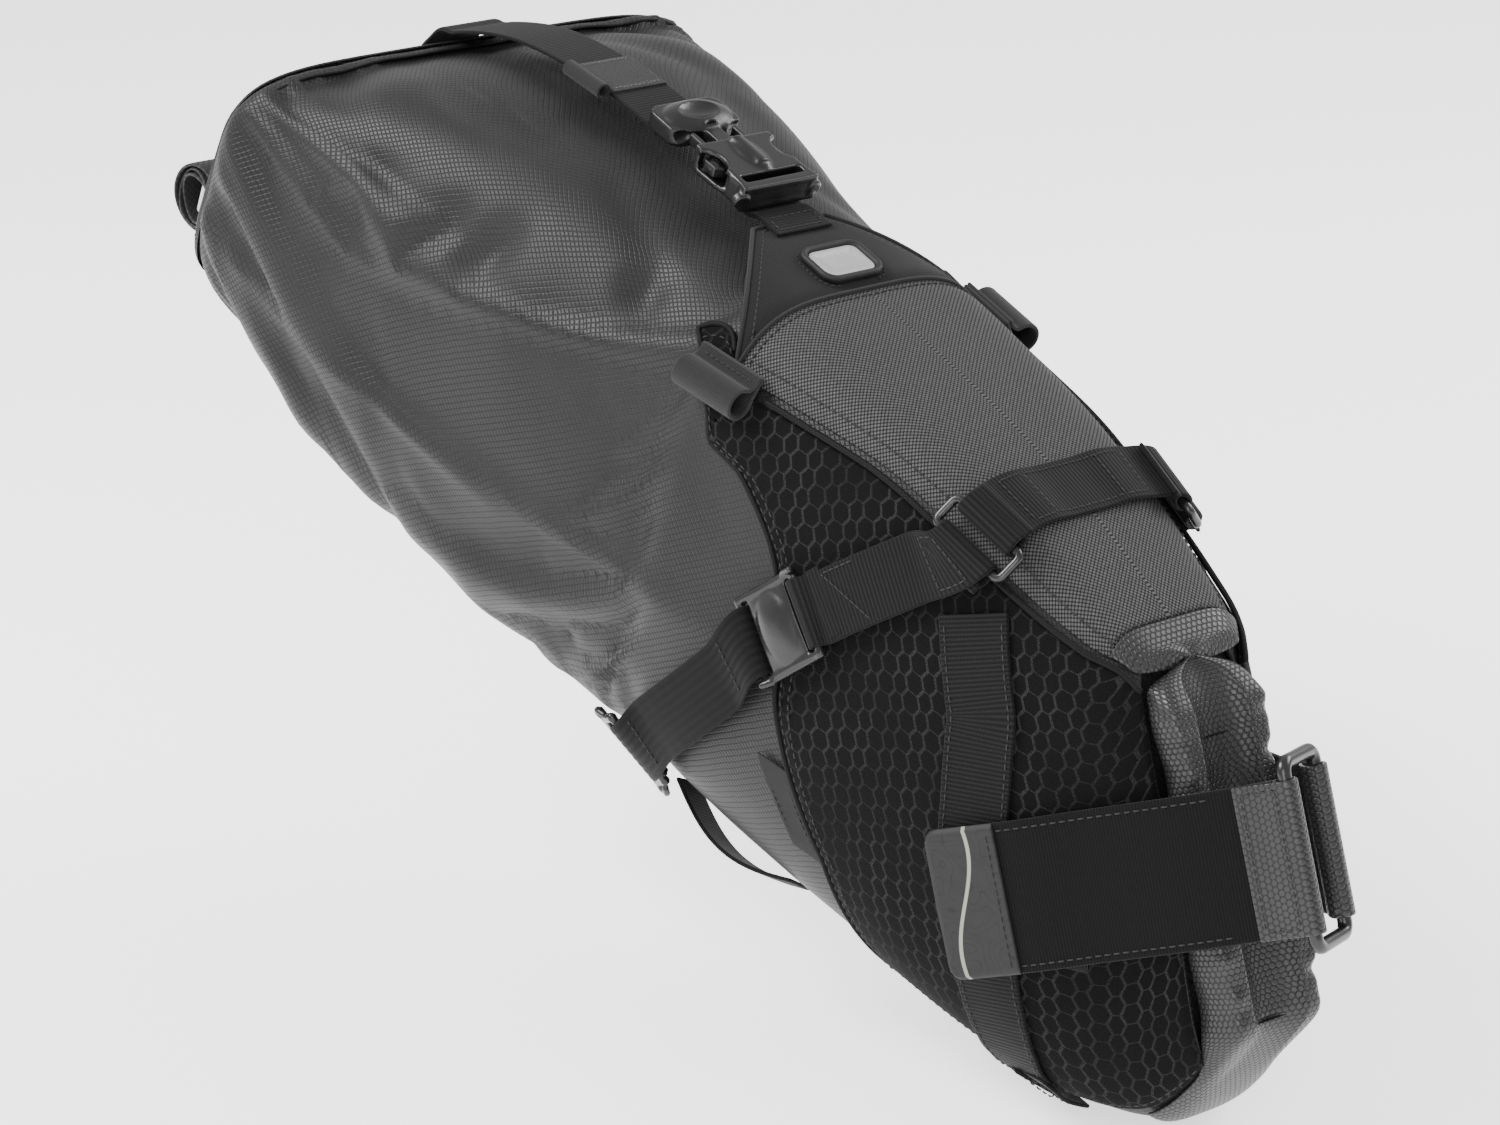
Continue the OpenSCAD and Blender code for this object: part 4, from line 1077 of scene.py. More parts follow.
def simulate_bag(grid, s):
    """Lets the fabric between the mouth and the harness settle: a little slack, light pressure."""
    rows, cols = grid.shape[:2]
    faces = quads(ringed(number_grid(rows, cols))).tolist()
    piece = add_mesh("cloth", (grid.reshape(-1, 3) * MM).tolist(), faces)
    hold = piece.vertex_groups.new(name="hold")
    held = np.nonzero(((s <= 0.02) | (s >= 4.35)).ravel())[0]
    hold.add(held.tolist(), 1.0, "REPLACE")
    cloth = piece.modifiers.new("cloth", "CLOTH")
    set_ = cloth.settings
    set_.quality = 6
    set_.mass = 0.12
    set_.tension_stiffness = 18
    set_.compression_stiffness = 18
    set_.shear_stiffness = 6
    set_.bending_stiffness = 0.9
    set_.air_damping = 2.0
    set_.vertex_group_mass = "hold"
    set_.shrink_min = -0.022
    set_.use_pressure = True
    set_.uniform_pressure_force = 0.5
    set_.effector_weights.gravity = 0.4
    cloth.collision_settings.use_collision = False
    scene = bpy.context.scene
    frames = 24
    cloth.point_cache.frame_end = frames
    for k in range(1, frames + 1):
        scene.frame_set(k)
    graph = bpy.context.evaluated_depsgraph_get()
    result = piece.evaluated_get(graph).to_mesh()
    co = np.empty(rows * cols * 3, np.float32)
    result.vertices.foreach_get("co", co)
    piece.evaluated_get(graph).to_mesh_clear()
    piece.modifiers.clear()
    bpy.data.objects.remove(piece)
    scene.frame_set(1)
    return co.reshape(grid.shape).astype(float) / MM


RIM_CURL = 3.6
MOST_MOVED, MOST_SLID = 6.0, 3.0


def rim_curl(s):
    """How far the fabric turns in near the rim of the mouth."""
    return RIM_CURL * np.clip(1 - s / 0.3, 0, 1) ** 2


def bag_fabric():
    rows = np.concatenate([np.linspace(0, 4.7, 84), np.linspace(4.8, LAST, 44)])
    cols = 168
    share = np.arange(cols) / cols * 2 - 1
    s, f = np.meshgrid(rows, share, indexing="ij")
    t = angle_at(s, f)
    outer = lift(s, t, 0.0)
    moved = simulate_bag(outer, s) - outer
    facing = normal(s, t)
    out = (moved * facing).sum(-1)
    way = np.abs(surface_uv(s, t)[..., 0])
    near_strap = np.exp(-(way / 24.0) ** 2)
    low_side = smooth((s - 3.3) / 0.5) * np.exp(-((np.abs(f) - 0.62) / 0.2) ** 2)
    most = MOST_MOVED * (1 - 0.9 * np.maximum(near_strap, low_side))
    limited = np.clip(out, -MOST_MOVED, most)
    slide = moved - out[..., None] * facing
    slid = np.maximum(np.linalg.norm(slide, axis=-1, keepdims=True), 1e-6)
    slide *= np.minimum(1, MOST_SLID / slid)
    share_free = (smooth(s / 0.35) * smooth((4.3 - s) / 0.4))[..., None]
    outer = outer + share_free * (limited[..., None] * facing + slide)
    outer = outer - rim_curl(s)[..., None] * normal(s, t)
    facing = grid_normals(outer, True)
    inner = outer - WALL * facing * np.sign((facing * normal(s, t)).sum(-1, keepdims=True))
    wide = np.arange(cols + 1) / cols * 2 - 1
    s2, f2 = np.meshgrid(rows, wide, indexing="ij")
    total = np.interp(s2, S_GRID, ARC[:, -1])
    uv = np.stack([f2 * total, look_up(ALONG, s2, np.abs(f2) * (len(SHARES) - 1))], -1)
    shell("dry_bag", outer, inner, uv, "ripstop", "bag",
          ("bag_top", "bag_right", "bag_bottom", "bag_left"), wrap=True, rounded=0.4)


def bag_nose_wall():
    rim_points = lift(LAST - 0.1, np.arange(0, 360, 5.0), -2.4, False)
    centre = rim_points.mean(0)
    ring = np.linspace(0.01, 1, 14)[:, None, None]
    grid = centre + ring * (rim_points - centre)
    forward = np.array([math.cos(POST_LEAN), 0, math.sin(POST_LEAN)])
    grid = grid - forward * (3.0 * np.exp(-(ring * 1.5) ** 2))
    shell("nose_wall", grid, grid - 1.6 * forward, ringed(grid)[..., 1:], "ripstop", "bag",
          ("bag_nose",), wrap=True, rounded=0.3)


def mouth_hem():
    share = np.arange(120) / 120 * 2 - 1
    s, f = np.meshgrid(np.array([0.02, 0.03, 0.08, 0.15, 0.2, 0.21]), share, indexing="ij")
    t = angle_at(s, f)
    total = np.interp(0.1, S_GRID, ARC[:, -1])
    round_way = np.linspace(-total, total, 121)
    uv = np.stack(np.meshgrid(np.linspace(0, 12, 6), round_way, indexing="ij"), -1)
    curl = rim_curl(s)
    shell("mouth_hem", lift(s, t, -WALL - 0.5 - curl), lift(s, t, -WALL - 1.7 - curl), uv,
          "binding", "bag", ("mouth_hem",), wrap=True)


# ---------------------------------------------------------------- harness panels

def quilted(distance):
    """Height of a sewn panel's face at a distance from its seams."""
    pinch = 1 - np.exp(-(distance / 3.5) ** 2)
    return SKIN_GAP + PANEL * (0.5 + 0.5 * pinch) + 0.3 * pinch


def quilted_panel(name, s, t, edge, uv, look, side=RIGHT):
    """A sewn panel on the bag; edge is each point's distance from its seams."""
    shell(name, lift(s, t, quilted(edge)), lift(s, t, SKIN_GAP), uv, look, "bag", (name,), side)


def side_panel_angle(s, w):
    widest = 0.6
    upper = mix(edge_angle(s) + 2.5, 180, (np.minimum(w, widest) / widest) ** 1.4)
    lower = mix(180, SIDE_LOW_ANGLE, np.clip((w - widest) / (1 - widest), 0, 1))
    return np.where(w < widest, upper, lower)


def side_point(r, w):
    s = mix(np.interp(w, *SIDE_REAR), LAST, r)
    return s, side_panel_angle(s, w)


def side_panel(side, tag):
    r, w = np.meshgrid(spread(92, 0.006), spread(70, 0.006), indexing="ij")
    s, t = side_point(r, w)
    edge = np.minimum(np.minimum(r, 1 - r) * 230, np.minimum(w, 1 - w) * 150)
    uv = surface_uv(s, t)
    uv[..., 0] -= surface_uv(s, np.full(s.shape, 180.0))[..., 0]
    quilted_panel("side_panel_" + tag, s, t, edge, uv, "side_fabric", side)
    for r0 in (0.012, 0.03):
        line_w = np.linspace(0.02, 0.97, 120)
        ls, lt = side_point(np.full(line_w.shape, r0), line_w)
        sew_skin(ls, lt, quilted(r0 * 230), side, pitch=3.4)
    line_r = np.linspace(0.02, 0.97, 120)
    ls, lt = side_point(line_r, np.full(line_r.shape, 0.975))
    sew_skin(ls, lt, quilted(3.5), side, pitch=3.4)
    w = np.linspace(0.0, 1.0, 160)
    ls, lt = side_point(np.full(w.shape, 0.0), w)
    tube("side_hem_" + tag, lift(ls, lt, 1.5), normal(ls, lt), 1.0, "binding", "bag", side=side)


def piping(side, tag):
    s = np.linspace(4.8, LAST - 0.05, 90)
    t = edge_angle(s) + 1
    name = "piping_" + tag
    tube(name, lift(s, t, SKIN_GAP + PANEL + 1.1 + 0.2), normal(s, t), 1.1, "binding", "bag",
         (name,), side)


def top_grid(s0, s1, rows, cols):
    r, c = np.meshgrid(spread(rows, 0.008), spread(cols, 0.012), indexing="ij")
    s = mix(s0, s1, r)
    half = np.interp(s, *PANEL_EDGE) - 1
    y = mix(-half, half, c)
    return s, y, r, c, half


NOSE_SEAM = 9.0


def top_panel():
    s, y, r, c, half = top_grid(TONGUE_SEAM, NOSE_SEAM, 80, 48)
    t = top_angle(s, y)
    edge = np.minimum(np.minimum(r, 1 - r) * 180, np.minimum(c, 1 - c) * 2 * half)
    quilted_panel("top_panel", s, t, edge, surface_uv(s, t), "top_fabric")
    for side in (RIGHT, LEFT):
        ls = np.linspace(TONGUE_SEAM + 0.1, NOSE_SEAM, 120)
        ly = np.interp(ls, *PANEL_EDGE) - 3.6
        sew_skin(ls, top_angle(ls, ly), 1.95, side, pitch=3.2)
    for ls in (TONGUE_SEAM + 0.06, NOSE_SEAM - 0.09):
        half_line = np.interp(ls, *PANEL_EDGE) - 3
        ly = np.linspace(-half_line, half_line, 60)
        sew_skin(ls, top_angle(ls, ly), 1.95, pitch=3.0)


def tongue_panel():
    s, y, r, c, half = top_grid(TONGUE_START, TONGUE_SEAM - 0.02, 34, 44)
    t = top_angle(s, y)
    edge = np.minimum(np.minimum(r, 1 - r) * 46, np.minimum(c, 1 - c) * 2 * half)
    quilted_panel("tongue_panel", s, t, edge, surface_uv(s, t), "tongue_fabric")
    s0 = TONGUE_START
    ls = np.concatenate([np.linspace(TONGUE_SEAM, s0, 40), np.full(20, s0),
                         np.linspace(s0, TONGUE_SEAM, 40)])
    half_at = np.interp(ls, *PANEL_EDGE) - 0.6
    ly = np.concatenate([half_at[:40], np.linspace(half_at[40], -half_at[40], 20), -half_at[60:]])
    keep = np.concatenate([[True], (np.abs(np.diff(ls)) + np.abs(np.diff(ly))) > 1e-6])
    ls, ly = ls[keep], ly[keep]
    t = top_angle(ls, ly)
    tube("tongue_binding", lift(ls, t, 1.6), normal(ls, t), 0.85, "loop_webbing", "bag")
    inset = 1 - 3.0 / np.maximum(np.abs(ly), 12)
    ls2 = np.minimum(ls + 0.05, TONGUE_SEAM)
    sew_skin(ls2, top_angle(ls2, ly * inset), 2.0, pitch=2.8)
    ly = np.linspace(-52, 52, 90)
    t = top_angle(TONGUE_SEAM, ly)
    tube("tongue_seam", lift(TONGUE_SEAM - 0.01, t, 1.9), normal(TONGUE_SEAM, t), 0.8,
         "loop_webbing", "bag")


PAD_BACK = ((-58, 0, 42), (-24.9, -19.4, -17.9))
PAD_FRONT, PAD_HALF, PAD_LOW, PAD_HIGH, GROOVE = -6.6, 20.5, -58.0, 42.0, 13.7


def pad_outline(front, half, groove, back, corner=4.0, puff=0.0):
    """Across the pad from its back right edge round the front to its back left edge."""
    a = np.radians(np.linspace(90, 0, 8))
    round_ = np.stack([front - corner + corner * np.cos(a), -half + corner - corner * np.sin(a)], -1)
    side_line = np.stack([np.linspace(back, front - corner, 8)[:-1],
                          -half - puff * np.sin(np.linspace(0, 2.6, 7))], -1)
    meet = math.sqrt(max(groove ** 2 - front ** 2, 1))
    flat = np.stack([np.full(3, front), np.linspace(-half + corner, -meet - 1.0, 4)[1:]], -1)
    arc = np.linspace(math.atan2(-meet, front), -math.pi, 14)
    bowl = np.stack([groove * np.cos(arc), groove * np.sin(arc)], -1)
    right = np.concatenate([side_line, round_, flat, bowl])
    return np.concatenate([right, right[::-1][1:] * [1, -1]])


def nose_cover():
    """Coated fabric from the seam on top, over the pad on the front and down under the belly."""
    shape = pad_outline(PAD_FRONT, PAD_HALF, GROOVE, -19.5)
    way = way_along(shape)
    c = way / way[-1] * 2 - 1
    rows = []
    seam_rows = [NOSE_SEAM + 0.02, NOSE_SEAM + 0.035]
    for s in np.concatenate([seam_rows, np.linspace(NOSE_SEAM + 0.08, LAST - 0.02, 14)]):
        y = c * (np.interp(s, *PANEL_EDGE) - 1)
        rows.append(lift(s, top_angle(s, y), 2.0, False))
    for h in np.linspace(0.93, -0.88, 96):
        p = skin(LAST, side_angle(LAST, h))
        face, z = p @ np.array([POST.x, POST.z]).T + [1.7, 0]
        half = min(abs(p[1]), 21.0) - 0.2
        on = float(smooth((72 - z) / 24) * smooth((z + 72) / 16))
        bulge = 1.0 + 0.05 * math.sin(z * 0.16)
        outline = pad_outline(PAD_FRONT, PAD_HALF * bulge, GROOVE, face, puff=0.8)
        loose = np.exp(-((z - 36) / 14) ** 2) + np.exp(-((z + 40) / 14) ** 2)
        fold = loose * (1.0 * np.sin(z * 0.5 + c * 2.3) + 0.5 * np.sin(z * 0.85 - c * 4.1))
        fold = fold * smooth((1 - np.abs(c)) * 4) * smooth((np.abs(c) - 0.45) * 5)
        flat = np.stack([np.full(c.shape, face), c * half], -1)
        section = mix(flat, outline, on)
        section[:, 0] += fold * (0.4 + 0.6 * on)
        rows.append(POST.at(at_height(section, z)))
    for s in np.linspace(LAST - 0.03, 9.0, 12):
        rows.append(lift(s, mix(243.0, 297.0, (c + 1) / 2), 2.0))
    outer = np.array(rows)
    soft = np.r_[11:24, 106:118]
    for _ in range(8):
        blurred = outer.copy()
        blurred[1:-1] = (outer[:-2] + 2 * outer[1:-1] + outer[2:]) / 4
        outer[soft] = blurred[soft]
    facing = grid_normals(outer, False)
    nose_middle = np.array([-60.0, 0.0, -10.0])
    if ((facing * (outer - nose_middle)).sum(-1) < 0).mean() > 0.5:
        facing = -facing
    way = way_along(outer[:, 12])
    across = np.concatenate([np.zeros((len(outer), 1)),
                             np.cumsum(np.linalg.norm(np.diff(outer, axis=1), axis=-1), 1)], 1)
    across = across - across[:, -1:] / 2
    uv = np.stack([across, np.broadcast_to(way[:, None], outer.shape[:2])], -1)
    shell("nose_panel", outer, outer - 1.0 * facing, uv, "coated_fabric", "bag", ("nose_panel",),
          rounded=0.3)
    ly = np.linspace(-25, 25, 40)
    ls = np.full(ly.shape, NOSE_SEAM + 0.12)
    sew_skin(ls, top_angle(ls, ly), 2.05, soft=False, pitch=3.0)


def nose_pad():
    """Foam pad under the coated fabric, with the groove that seats the seatpost."""
    low, high = PAD_LOW + 2.0, PAD_HIGH - 2.0
    heights = np.concatenate([low + 4 * (1 - np.cos(np.linspace(0, np.pi / 2, 7))),
                              np.linspace(low + 6, high - 6, 40),
                              high - 4 * (1 - np.cos(np.linspace(np.pi / 2, 0, 7)))])
    rows = []
    for z in heights:
        end = min(z - low, high - z)
        inset = 1.8 + (4.0 - math.sqrt(max(16.0 - (4.0 - end) ** 2, 0)) if end < 4 else 0.0)
        back = np.interp(z, *PAD_BACK) + 1.0
        line = pad_outline(PAD_FRONT - inset, PAD_HALF - inset, GROOVE + inset, back, 3.0)
        rear = np.stack([np.full(12, back), np.linspace(line[-1, 1], line[0, 1], 14)[1:-1]], -1)
        rows.append(POST.at(at_height(np.concatenate([line, rear]), z)))
    grid = np.array(rows)
    n, m = grid.shape[:2]
    ids, uv_ids = ringed(number_grid(n, m)), number_grid(n, m + 1)
    uv = np.stack(np.meshgrid(heights, way_along(ringed(grid)[20]), indexing="ij")[::-1], -1)
    faces = quads(ids).tolist() + caps(ids)
    corners = list(uv.reshape(-1, 2)[quads(uv_ids)]) + [uv[0, :-1][::-1], uv[-1, :-1]]
    piece = make("nose_pad", grid.reshape(-1, 3), faces, corners, "coated_fabric", "bag", ("nose_pad",))


def stiffeners():
    r, c = np.meshgrid(spread(24, 0.02), spread(10, 0.04), indexing="ij")
    s, t = mix(4.6, 8.4, r), mix(254, 286, c)
    shell("base_stiffener", lift(s, t, -WALL - 0.6), lift(s, t, -WALL - 2.0), surface_uv(s, t),
          "stiffener_sheet", "bag", ("base_stiffener",))
    moulded("nose_stiffener", [prism(rounded_outline(-45, 35, 18, 6), 0, 1.5)], [],
            Frame(POST.at([-41, 0, 0]), POST.z, POST.y, POST.x), "stiffener_sheet", "bag",
            voxel=0.7, rounds=2)


# ---------------------------------------------------------------- badge and label

def rounded_ring(half_x, half_y, corner):
    steps = 10
    points = []
    for cx, cy, start in ((1, 1, 0), (-1, 1, 90), (-1, -1, 180), (1, -1, 270)):
        for k in range(steps + 1):
            a = math.radians(start + 90 * k / steps)
            points.append((cx * (half_x - corner) + corner * math.cos(a),
                           cy * (half_y - corner) + corner * math.sin(a)))
    return np.array(points)


def badge():
    base = frame_at(4.15, 90, SKIN_GAP + PANEL + 0.6)
    half_x, half_y, corner = 10.5, 13.5, 6.0
    rim = [(0.0, 0.0), (0.0, 1.7), (0.35, 2.35), (1.0, 2.6), (1.7, 2.45), (2.2, 1.9), (2.6, 1.0),
           (2.6, 0.0)]
    insert = [(2.8, 0.0), (2.8, 1.25), (3.0, 1.5), (3.4, 1.6), (5.0, 1.62), (5.3, 1.35), (8.2, 1.35)]
    for name, look, profile in (("badge_rim", "badge_rubber", rim),
                                ("badge_insert", "badge_face", insert)):
        grid = np.array([base.at(at_height(rounded_ring(
            half_x - inset, half_y - inset, max(corner - inset, 0.6)), z)) for inset, z in profile])
        ids = ringed(number_grid(*grid.shape[:2]))
        if profile is rim:
            faces = quads(np.concatenate([ids, ids[:1]], 0)).tolist()
        else:
            faces = quads(ids).tolist() + caps(ids)
        make(name, grid.reshape(-1, 3), faces, None, look, "bag", (name,))
    o = rounded_ring(half_x + 1.1, half_y + 1.1, corner + 1)
    seam = frame_at(4.15, 90, SKIN_GAP + PANEL + 0.35)
    sew("bag", seam.at(at_height(o, 0)), np.tile(base.z, (len(o), 1)),
        pitch=2.4, length=1.6, radius=0.26)


def side_label():
    w, c = np.meshgrid(spread(30, 0.015), spread(12, 0.03), indexing="ij")
    share = mix(0.655, 0.76, w)
    s = np.interp(share, *SIDE_REAR) - 0.03 - 0.25 * c
    t = side_panel_angle(s, share)
    curl = 0.5 * c ** 2 + 0.15 * np.sin(w * 9)
    uv = np.stack([c * 14, w * 34], -1)
    shell("side_label", lift(s, t, 1.7 + curl), lift(s, t, 0.8 + curl), uv, "label_fabric", "bag",
          ("side_label",))
    for cc in (0.12, 0.9):
        ws = np.linspace(0.665, 0.75, 22)
        ls = np.interp(ws, *SIDE_REAR) - 0.03 - 0.25 * cc
        sew_skin(ls, side_panel_angle(ls, ws), 1.75 + 0.5 * cc ** 2, pitch=2.6, length=1.8, radius=0.24)


# ---------------------------------------------------------------- rings, straps and hooks

def wire_ring(name, place, length, gap, wire, body, side=RIGHT):
    """A rectangular wire ring with its long bars along x at y = +-gap/2."""
    corner = wire * 0.75
    half_x, half_y = length / 2 + corner - 0.2, gap / 2
    outline = []
    for sx, sy, start in ((1, 1, 0), (-1, 1, 90), (-1, -1, 180), (1, -1, 270)):
        for k in range(9):
            a = math.radians(start + 90 * k / 8)
            outline.append((sx * (half_x - corner) + corner * math.cos(a),
                            sy * (half_y - corner) + corner * math.sin(a), 0))
    o = np.array(outline)
    steps = [6 if i % 9 == 8 else 2 for i in range(len(o))]
    dense = np.concatenate([mix(o[i], o[(i + 1) % len(o)], np.linspace(0, 1, n)[:-1][:, None])
                            for i, n in enumerate(steps)])
    tube(name, place.at(dense), np.tile(place.z, (len(dense), 1)), wire / 2, "hardware", body,
         (name,), side, sides=20, closed=True)


def bar_wrap(place, centre, toward, tail, tail_z):
    """Webbing round a bar: points and ups from the end of the tail to the top of the bar."""
    c, d, z = np.asarray(centre, float), np.asarray(toward, float), np.array([0, 0, 1.0])
    points = [c + d * k + z * h for k, h in ((tail, tail_z), (tail * 0.6, tail_z),
                                             (BAR_HOLE + 3.2, tail_z - 0.5))]
    ups = [-z, -z, -z]
    for a in np.radians(np.linspace(-90, 90, 13)):
        radial = -math.cos(a) * d + math.sin(a) * z
        points.append(c + BAR_HOLE * radial)
        ups.append(radial)
    axis = place.turned(np.cross(d, z))
    return place.at(np.array(points)), place.turned(np.array(ups)), np.tile(axis, (len(points), 1))


def joined_strap(pieces, step=0.5):
    """Webbing through several pieces of path; a piece without sideways vectors gets its own."""
    points, ups, sides = [], [], []
    for piece in pieces:
        p, u = np.asarray(piece[0], float), unit(piece[1])
        side = piece[2] if len(piece) > 2 else unit(np.cross(np.gradient(p, axis=0), u))
        points.append(p)
        ups.append(u)
        sides.append(side)
    return Strap(np.concatenate(points), np.concatenate(ups), WEBBING - 1, WEB_THICK,
                 np.concatenate(sides), step)


def turned_back(wrap):
    """A wrap run the other way, from the top of its bar to its tail."""
    points, ups, sides = wrap
    return points[::-1], ups[::-1], -sides


def side_path(stops, steps, height):
    stops = np.asarray(stops, float)
    points, ups = [], []
    for i in range(len(stops) - 1):
        last = i == len(stops) - 2
        for k in range(steps + (1 if last else 0)):
            p = mix(stops[i], stops[i + 1], k / steps)
            t = side_angle(p[0], p[1])
            points.append(skin(p[0], t) + height * normal(p[0], t))
            ups.append(normal(p[0], t))
    return np.array(points), np.array(ups)


def stitch_box(body, strap, way0, way1, side=RIGHT):
    """A box of stitches on a strap between two distances along it."""
    half = strap.width / 2 - 2.2
    corners = [(way0, -half), (way1, -half), (way1, half), (way0, half), (way0, -half)]
    for (a, ua), (b, ub) in zip(corners[:-1], corners[1:]):
        sew_strap(body, strap, np.linspace(a, b, 10), np.linspace(ua, ub, 10), side, pitch=2.9)


def cross_webbing():
    wrap = bar_wrap(RING, (0, RING_GAP / 2, 0), (0, 1, 0), 8.5, 0.4)
    heights = {27: WEB_LIFT + 2.2, 18: WEB_LIFT + 1.2, 9: WEB_LIFT + 0.1}
    run, run_up = [], []
    for y, h in heights.items():
        t = top_angle(RING_STATION, y)
        run.append(skin(RING_STATION, t) + h * normal(RING_STATION, t))
        run_up.append(normal(RING_STATION, t))
    middle = skin(RING_STATION, 90.0) + WEB_LIFT * normal(RING_STATION, 90.0)
    flip = np.array([1, -1, 1])
    run = np.concatenate([run, [middle], np.array(run)[::-1] * flip])
    run_up = np.concatenate([run_up, [normal(RING_STATION, 90.0)], np.array(run_up)[::-1] * flip])
    other = (wrap[0][::-1] * flip, wrap[1][::-1] * flip, wrap[2] * flip)
    strap = joined_strap([wrap, (run, run_up), other])
    strap.mesh("cross_webbing", "webbing", "bag", ("cross_webbing",))
    mid = strap.length / 2
    for a, b in ((mid - 26, mid - 16), (mid + 16, mid + 26)):
        stitch_box("bag", strap, a, b)
    for u in (-9.6, 9.6):
        sew_strap("bag", strap, np.linspace(mid - 16, mid + 16, 20), u, pitch=3.0)


def rail_strap(side, tag):
    body = "rail_strap_" + tag
    start = bar_wrap(RING, (0, -RING_GAP / 2, 0), (0, -1, 0), 8.5, 0.2)
    end = turned_back(bar_wrap(PLATE, (PLATE_LENGTH / 2, 0, 0), (1, 0, 0), 11, 0.6))
    run = side_path([HOOK_STOPS[0], mix(HOOK_STOPS[1], HOOK_STOPS[0], 0.28)], 6, STRAP_LIFT + 0.6)
    strap = joined_strap([start, run, end])
    strap.mesh(body, "webbing", body, (body,), side)
    n = strap.length
    stitch_box(body, strap, 22, 31, side)
    half = strap.width / 2 - 1.4
    for u0 in (-half, half):
        sew_strap(body, strap, np.linspace(n - 44, n - 30, 16), np.linspace(u0, half, 16), side,
                  pitch=2.6)


def elastic(side, tag):
    body = "rail_strap_" + tag
    start = bar_wrap(PLATE, (-PLATE_LENGTH / 2, 0, 0), (-1, 0, 0), 9, 0.5)
    end = turned_back(bar_wrap(LOWER, (6, 0, 0), (1, 0, 0), 9, 0.6))
    stops = [mix(HOOK_STOPS[1], HOOK_STOPS[2], 0.3), mix(HOOK_STOPS[2], HOOK_STOPS[1], 0.25)]
    run = side_path(stops, 7, STRAP_LIFT + 0.6)
    strap = joined_strap([start, run, end], step=0.8)
    strap.mesh("elastic_" + tag, "elastic_webbing", body, ("elastic_" + tag,), side, lengthwise=8,
               rib_height=0.34)
    for way0 in (30, strap.length - 30):
        sew_strap(body, strap, way0, np.linspace(-10, 10, 12), side, 0.1, pitch=2.4, length=1.7)


HOOK_HALF = WEBBING / 2 + 2.3


def hook_plate(side, tag):
    half = HOOK_HALF
    adds = [prism(rounded_outline(-9.0, 9.0, half, 2.5), -1.1, 1.1)]
    for y in (-half, half):
        adds.append(rod((-14.3, y, 0), (14.3, y, 0), 1.75))
    for x in (-13, 13):
        adds.append(rod((x, -half - 1.0, 0), (x, half + 1.0, 0), RING_WIRE / 2))
    adds.append(rod((9.5, half + 1.2, 0.6), (15.2, half + 0.4, 2.4), 1.3))
    adds.append(rod((-9.5, -half - 1.2, 0.6), (-15.2, -half - 0.4, 2.2), 1.3))
    adds.append(ball((0, 0, 0.2), (8.6, half, 2.3)))

    def arch(p):
        q = p.copy()
        q[:, 2] += 1.1 * (1 - (p[:, 1] / half) ** 2) * np.exp(-(p[:, 0] / 8.5) ** 4)
        return q
    moulded("hook_plate_" + tag, adds, [], PLATE, "hardware", "rail_strap_" + tag, side,
            voxel=0.45, rounds=6, bend=arch)


def lower_hook(side, tag):
    half = HOOK_HALF
    adds = [rod((6, -half - 0.8, 0), (6, half + 0.8, 0), RING_WIRE / 2),
            prism(rounded_outline(-6.8, -2.4, half, 1.8), -1.3, 1.3)]
    for y in (-half, half):
        sign = math.copysign(1, y)
        adds.append(rod((-5, y, 0), (7, y, 0), 1.8))
        adds.append(rod((-4.6, y + sign * 1.5, 0), (-4.6, y + sign * 4.2, 0.2), 1.9))
        adds.append(rod((-4.6, y + sign * 4.2, 0.2), (1.5, y + sign * 4.6, 1.6), 1.35))
        adds.append(rod((1.5, y + sign * 4.6, 1.6), (4.5, y + sign * 2.0, 1.2), 1.25))
    moulded("lower_hook_" + tag, adds, [], LOWER, "hardware", "rail_strap_" + tag, side)


# ---------------------------------------------------------------- webbing sewn to the harness

SIDE_WEB_STOPS = ((7.02, 0.70), (7.3, 0.42), (7.4, 0), (7.55, -0.6), (7.62, -0.93))


def side_webbing(side, tag):
    points, ups = side_path(SIDE_WEB_STOPS, 4, WEB_LIFT)
    low = np.array([236.0, 246.0, 256.0])
    strap = Strap(np.concatenate([points, lift(7.64, low, WEB_LIFT, False)]),
                  np.concatenate([ups, normal(7.64, low)]), WEBBING, WEB_THICK)
    strap.mesh("side_webbing_" + tag, "webbing", "bag", ("side_webbing_" + tag,), side)
    for u in (-10.8, 10.8):
        sew_strap("bag", strap, np.linspace(2, strap.length - 3, 60), u, side, 0.04, pitch=3.3)


def keeper_loop(side, tag):
    place = frame_at(4.42, edge_angle(4.42) + 8, SKIN_GAP + PANEL + 0.6)
    outer = 6.0
    line = [(0, 11, 0.6), (0, 6, 0.6), (0, 2.5, 0.5)]
    ups = [(0, 0, 1), (0, 0, 1), (0, 0, 1)]
    for a in np.radians(np.linspace(-90, -360, 28)):
        line.append((0, outer * math.cos(a), outer + outer * math.sin(a)))
        ups.append((0, -math.cos(a), -math.sin(a)))
    line += [(0, 6.3, 4.9), (0, 8.0, 3.8), (0, 11, 3.5)]
    ups += [(0, -0.9, -0.4), (0, -0.4, -0.9), (0, 0, -1)]
    line, ups = np.array(line, float), unit(np.array(ups, float))
    strap = Strap(place.at(line), place.turned(ups), WEBBING + 3, WEB_THICK,
                  sides=np.tile(place.x, (len(line), 1)), step=0.5)
    strap.mesh("keeper_loop_" + tag, "loop_webbing", "bag", ("keeper_loop_" + tag,), side, ribs=0.7,
               rib_height=0.05)
    x = np.linspace(-12, 12, 14)
    p = place.at(np.stack([x, np.full(14, 8.5), np.full(14, 3.75)], -1))
    sew("bag", p, np.tile(place.z, (14, 1)), side, pitch=2.6)


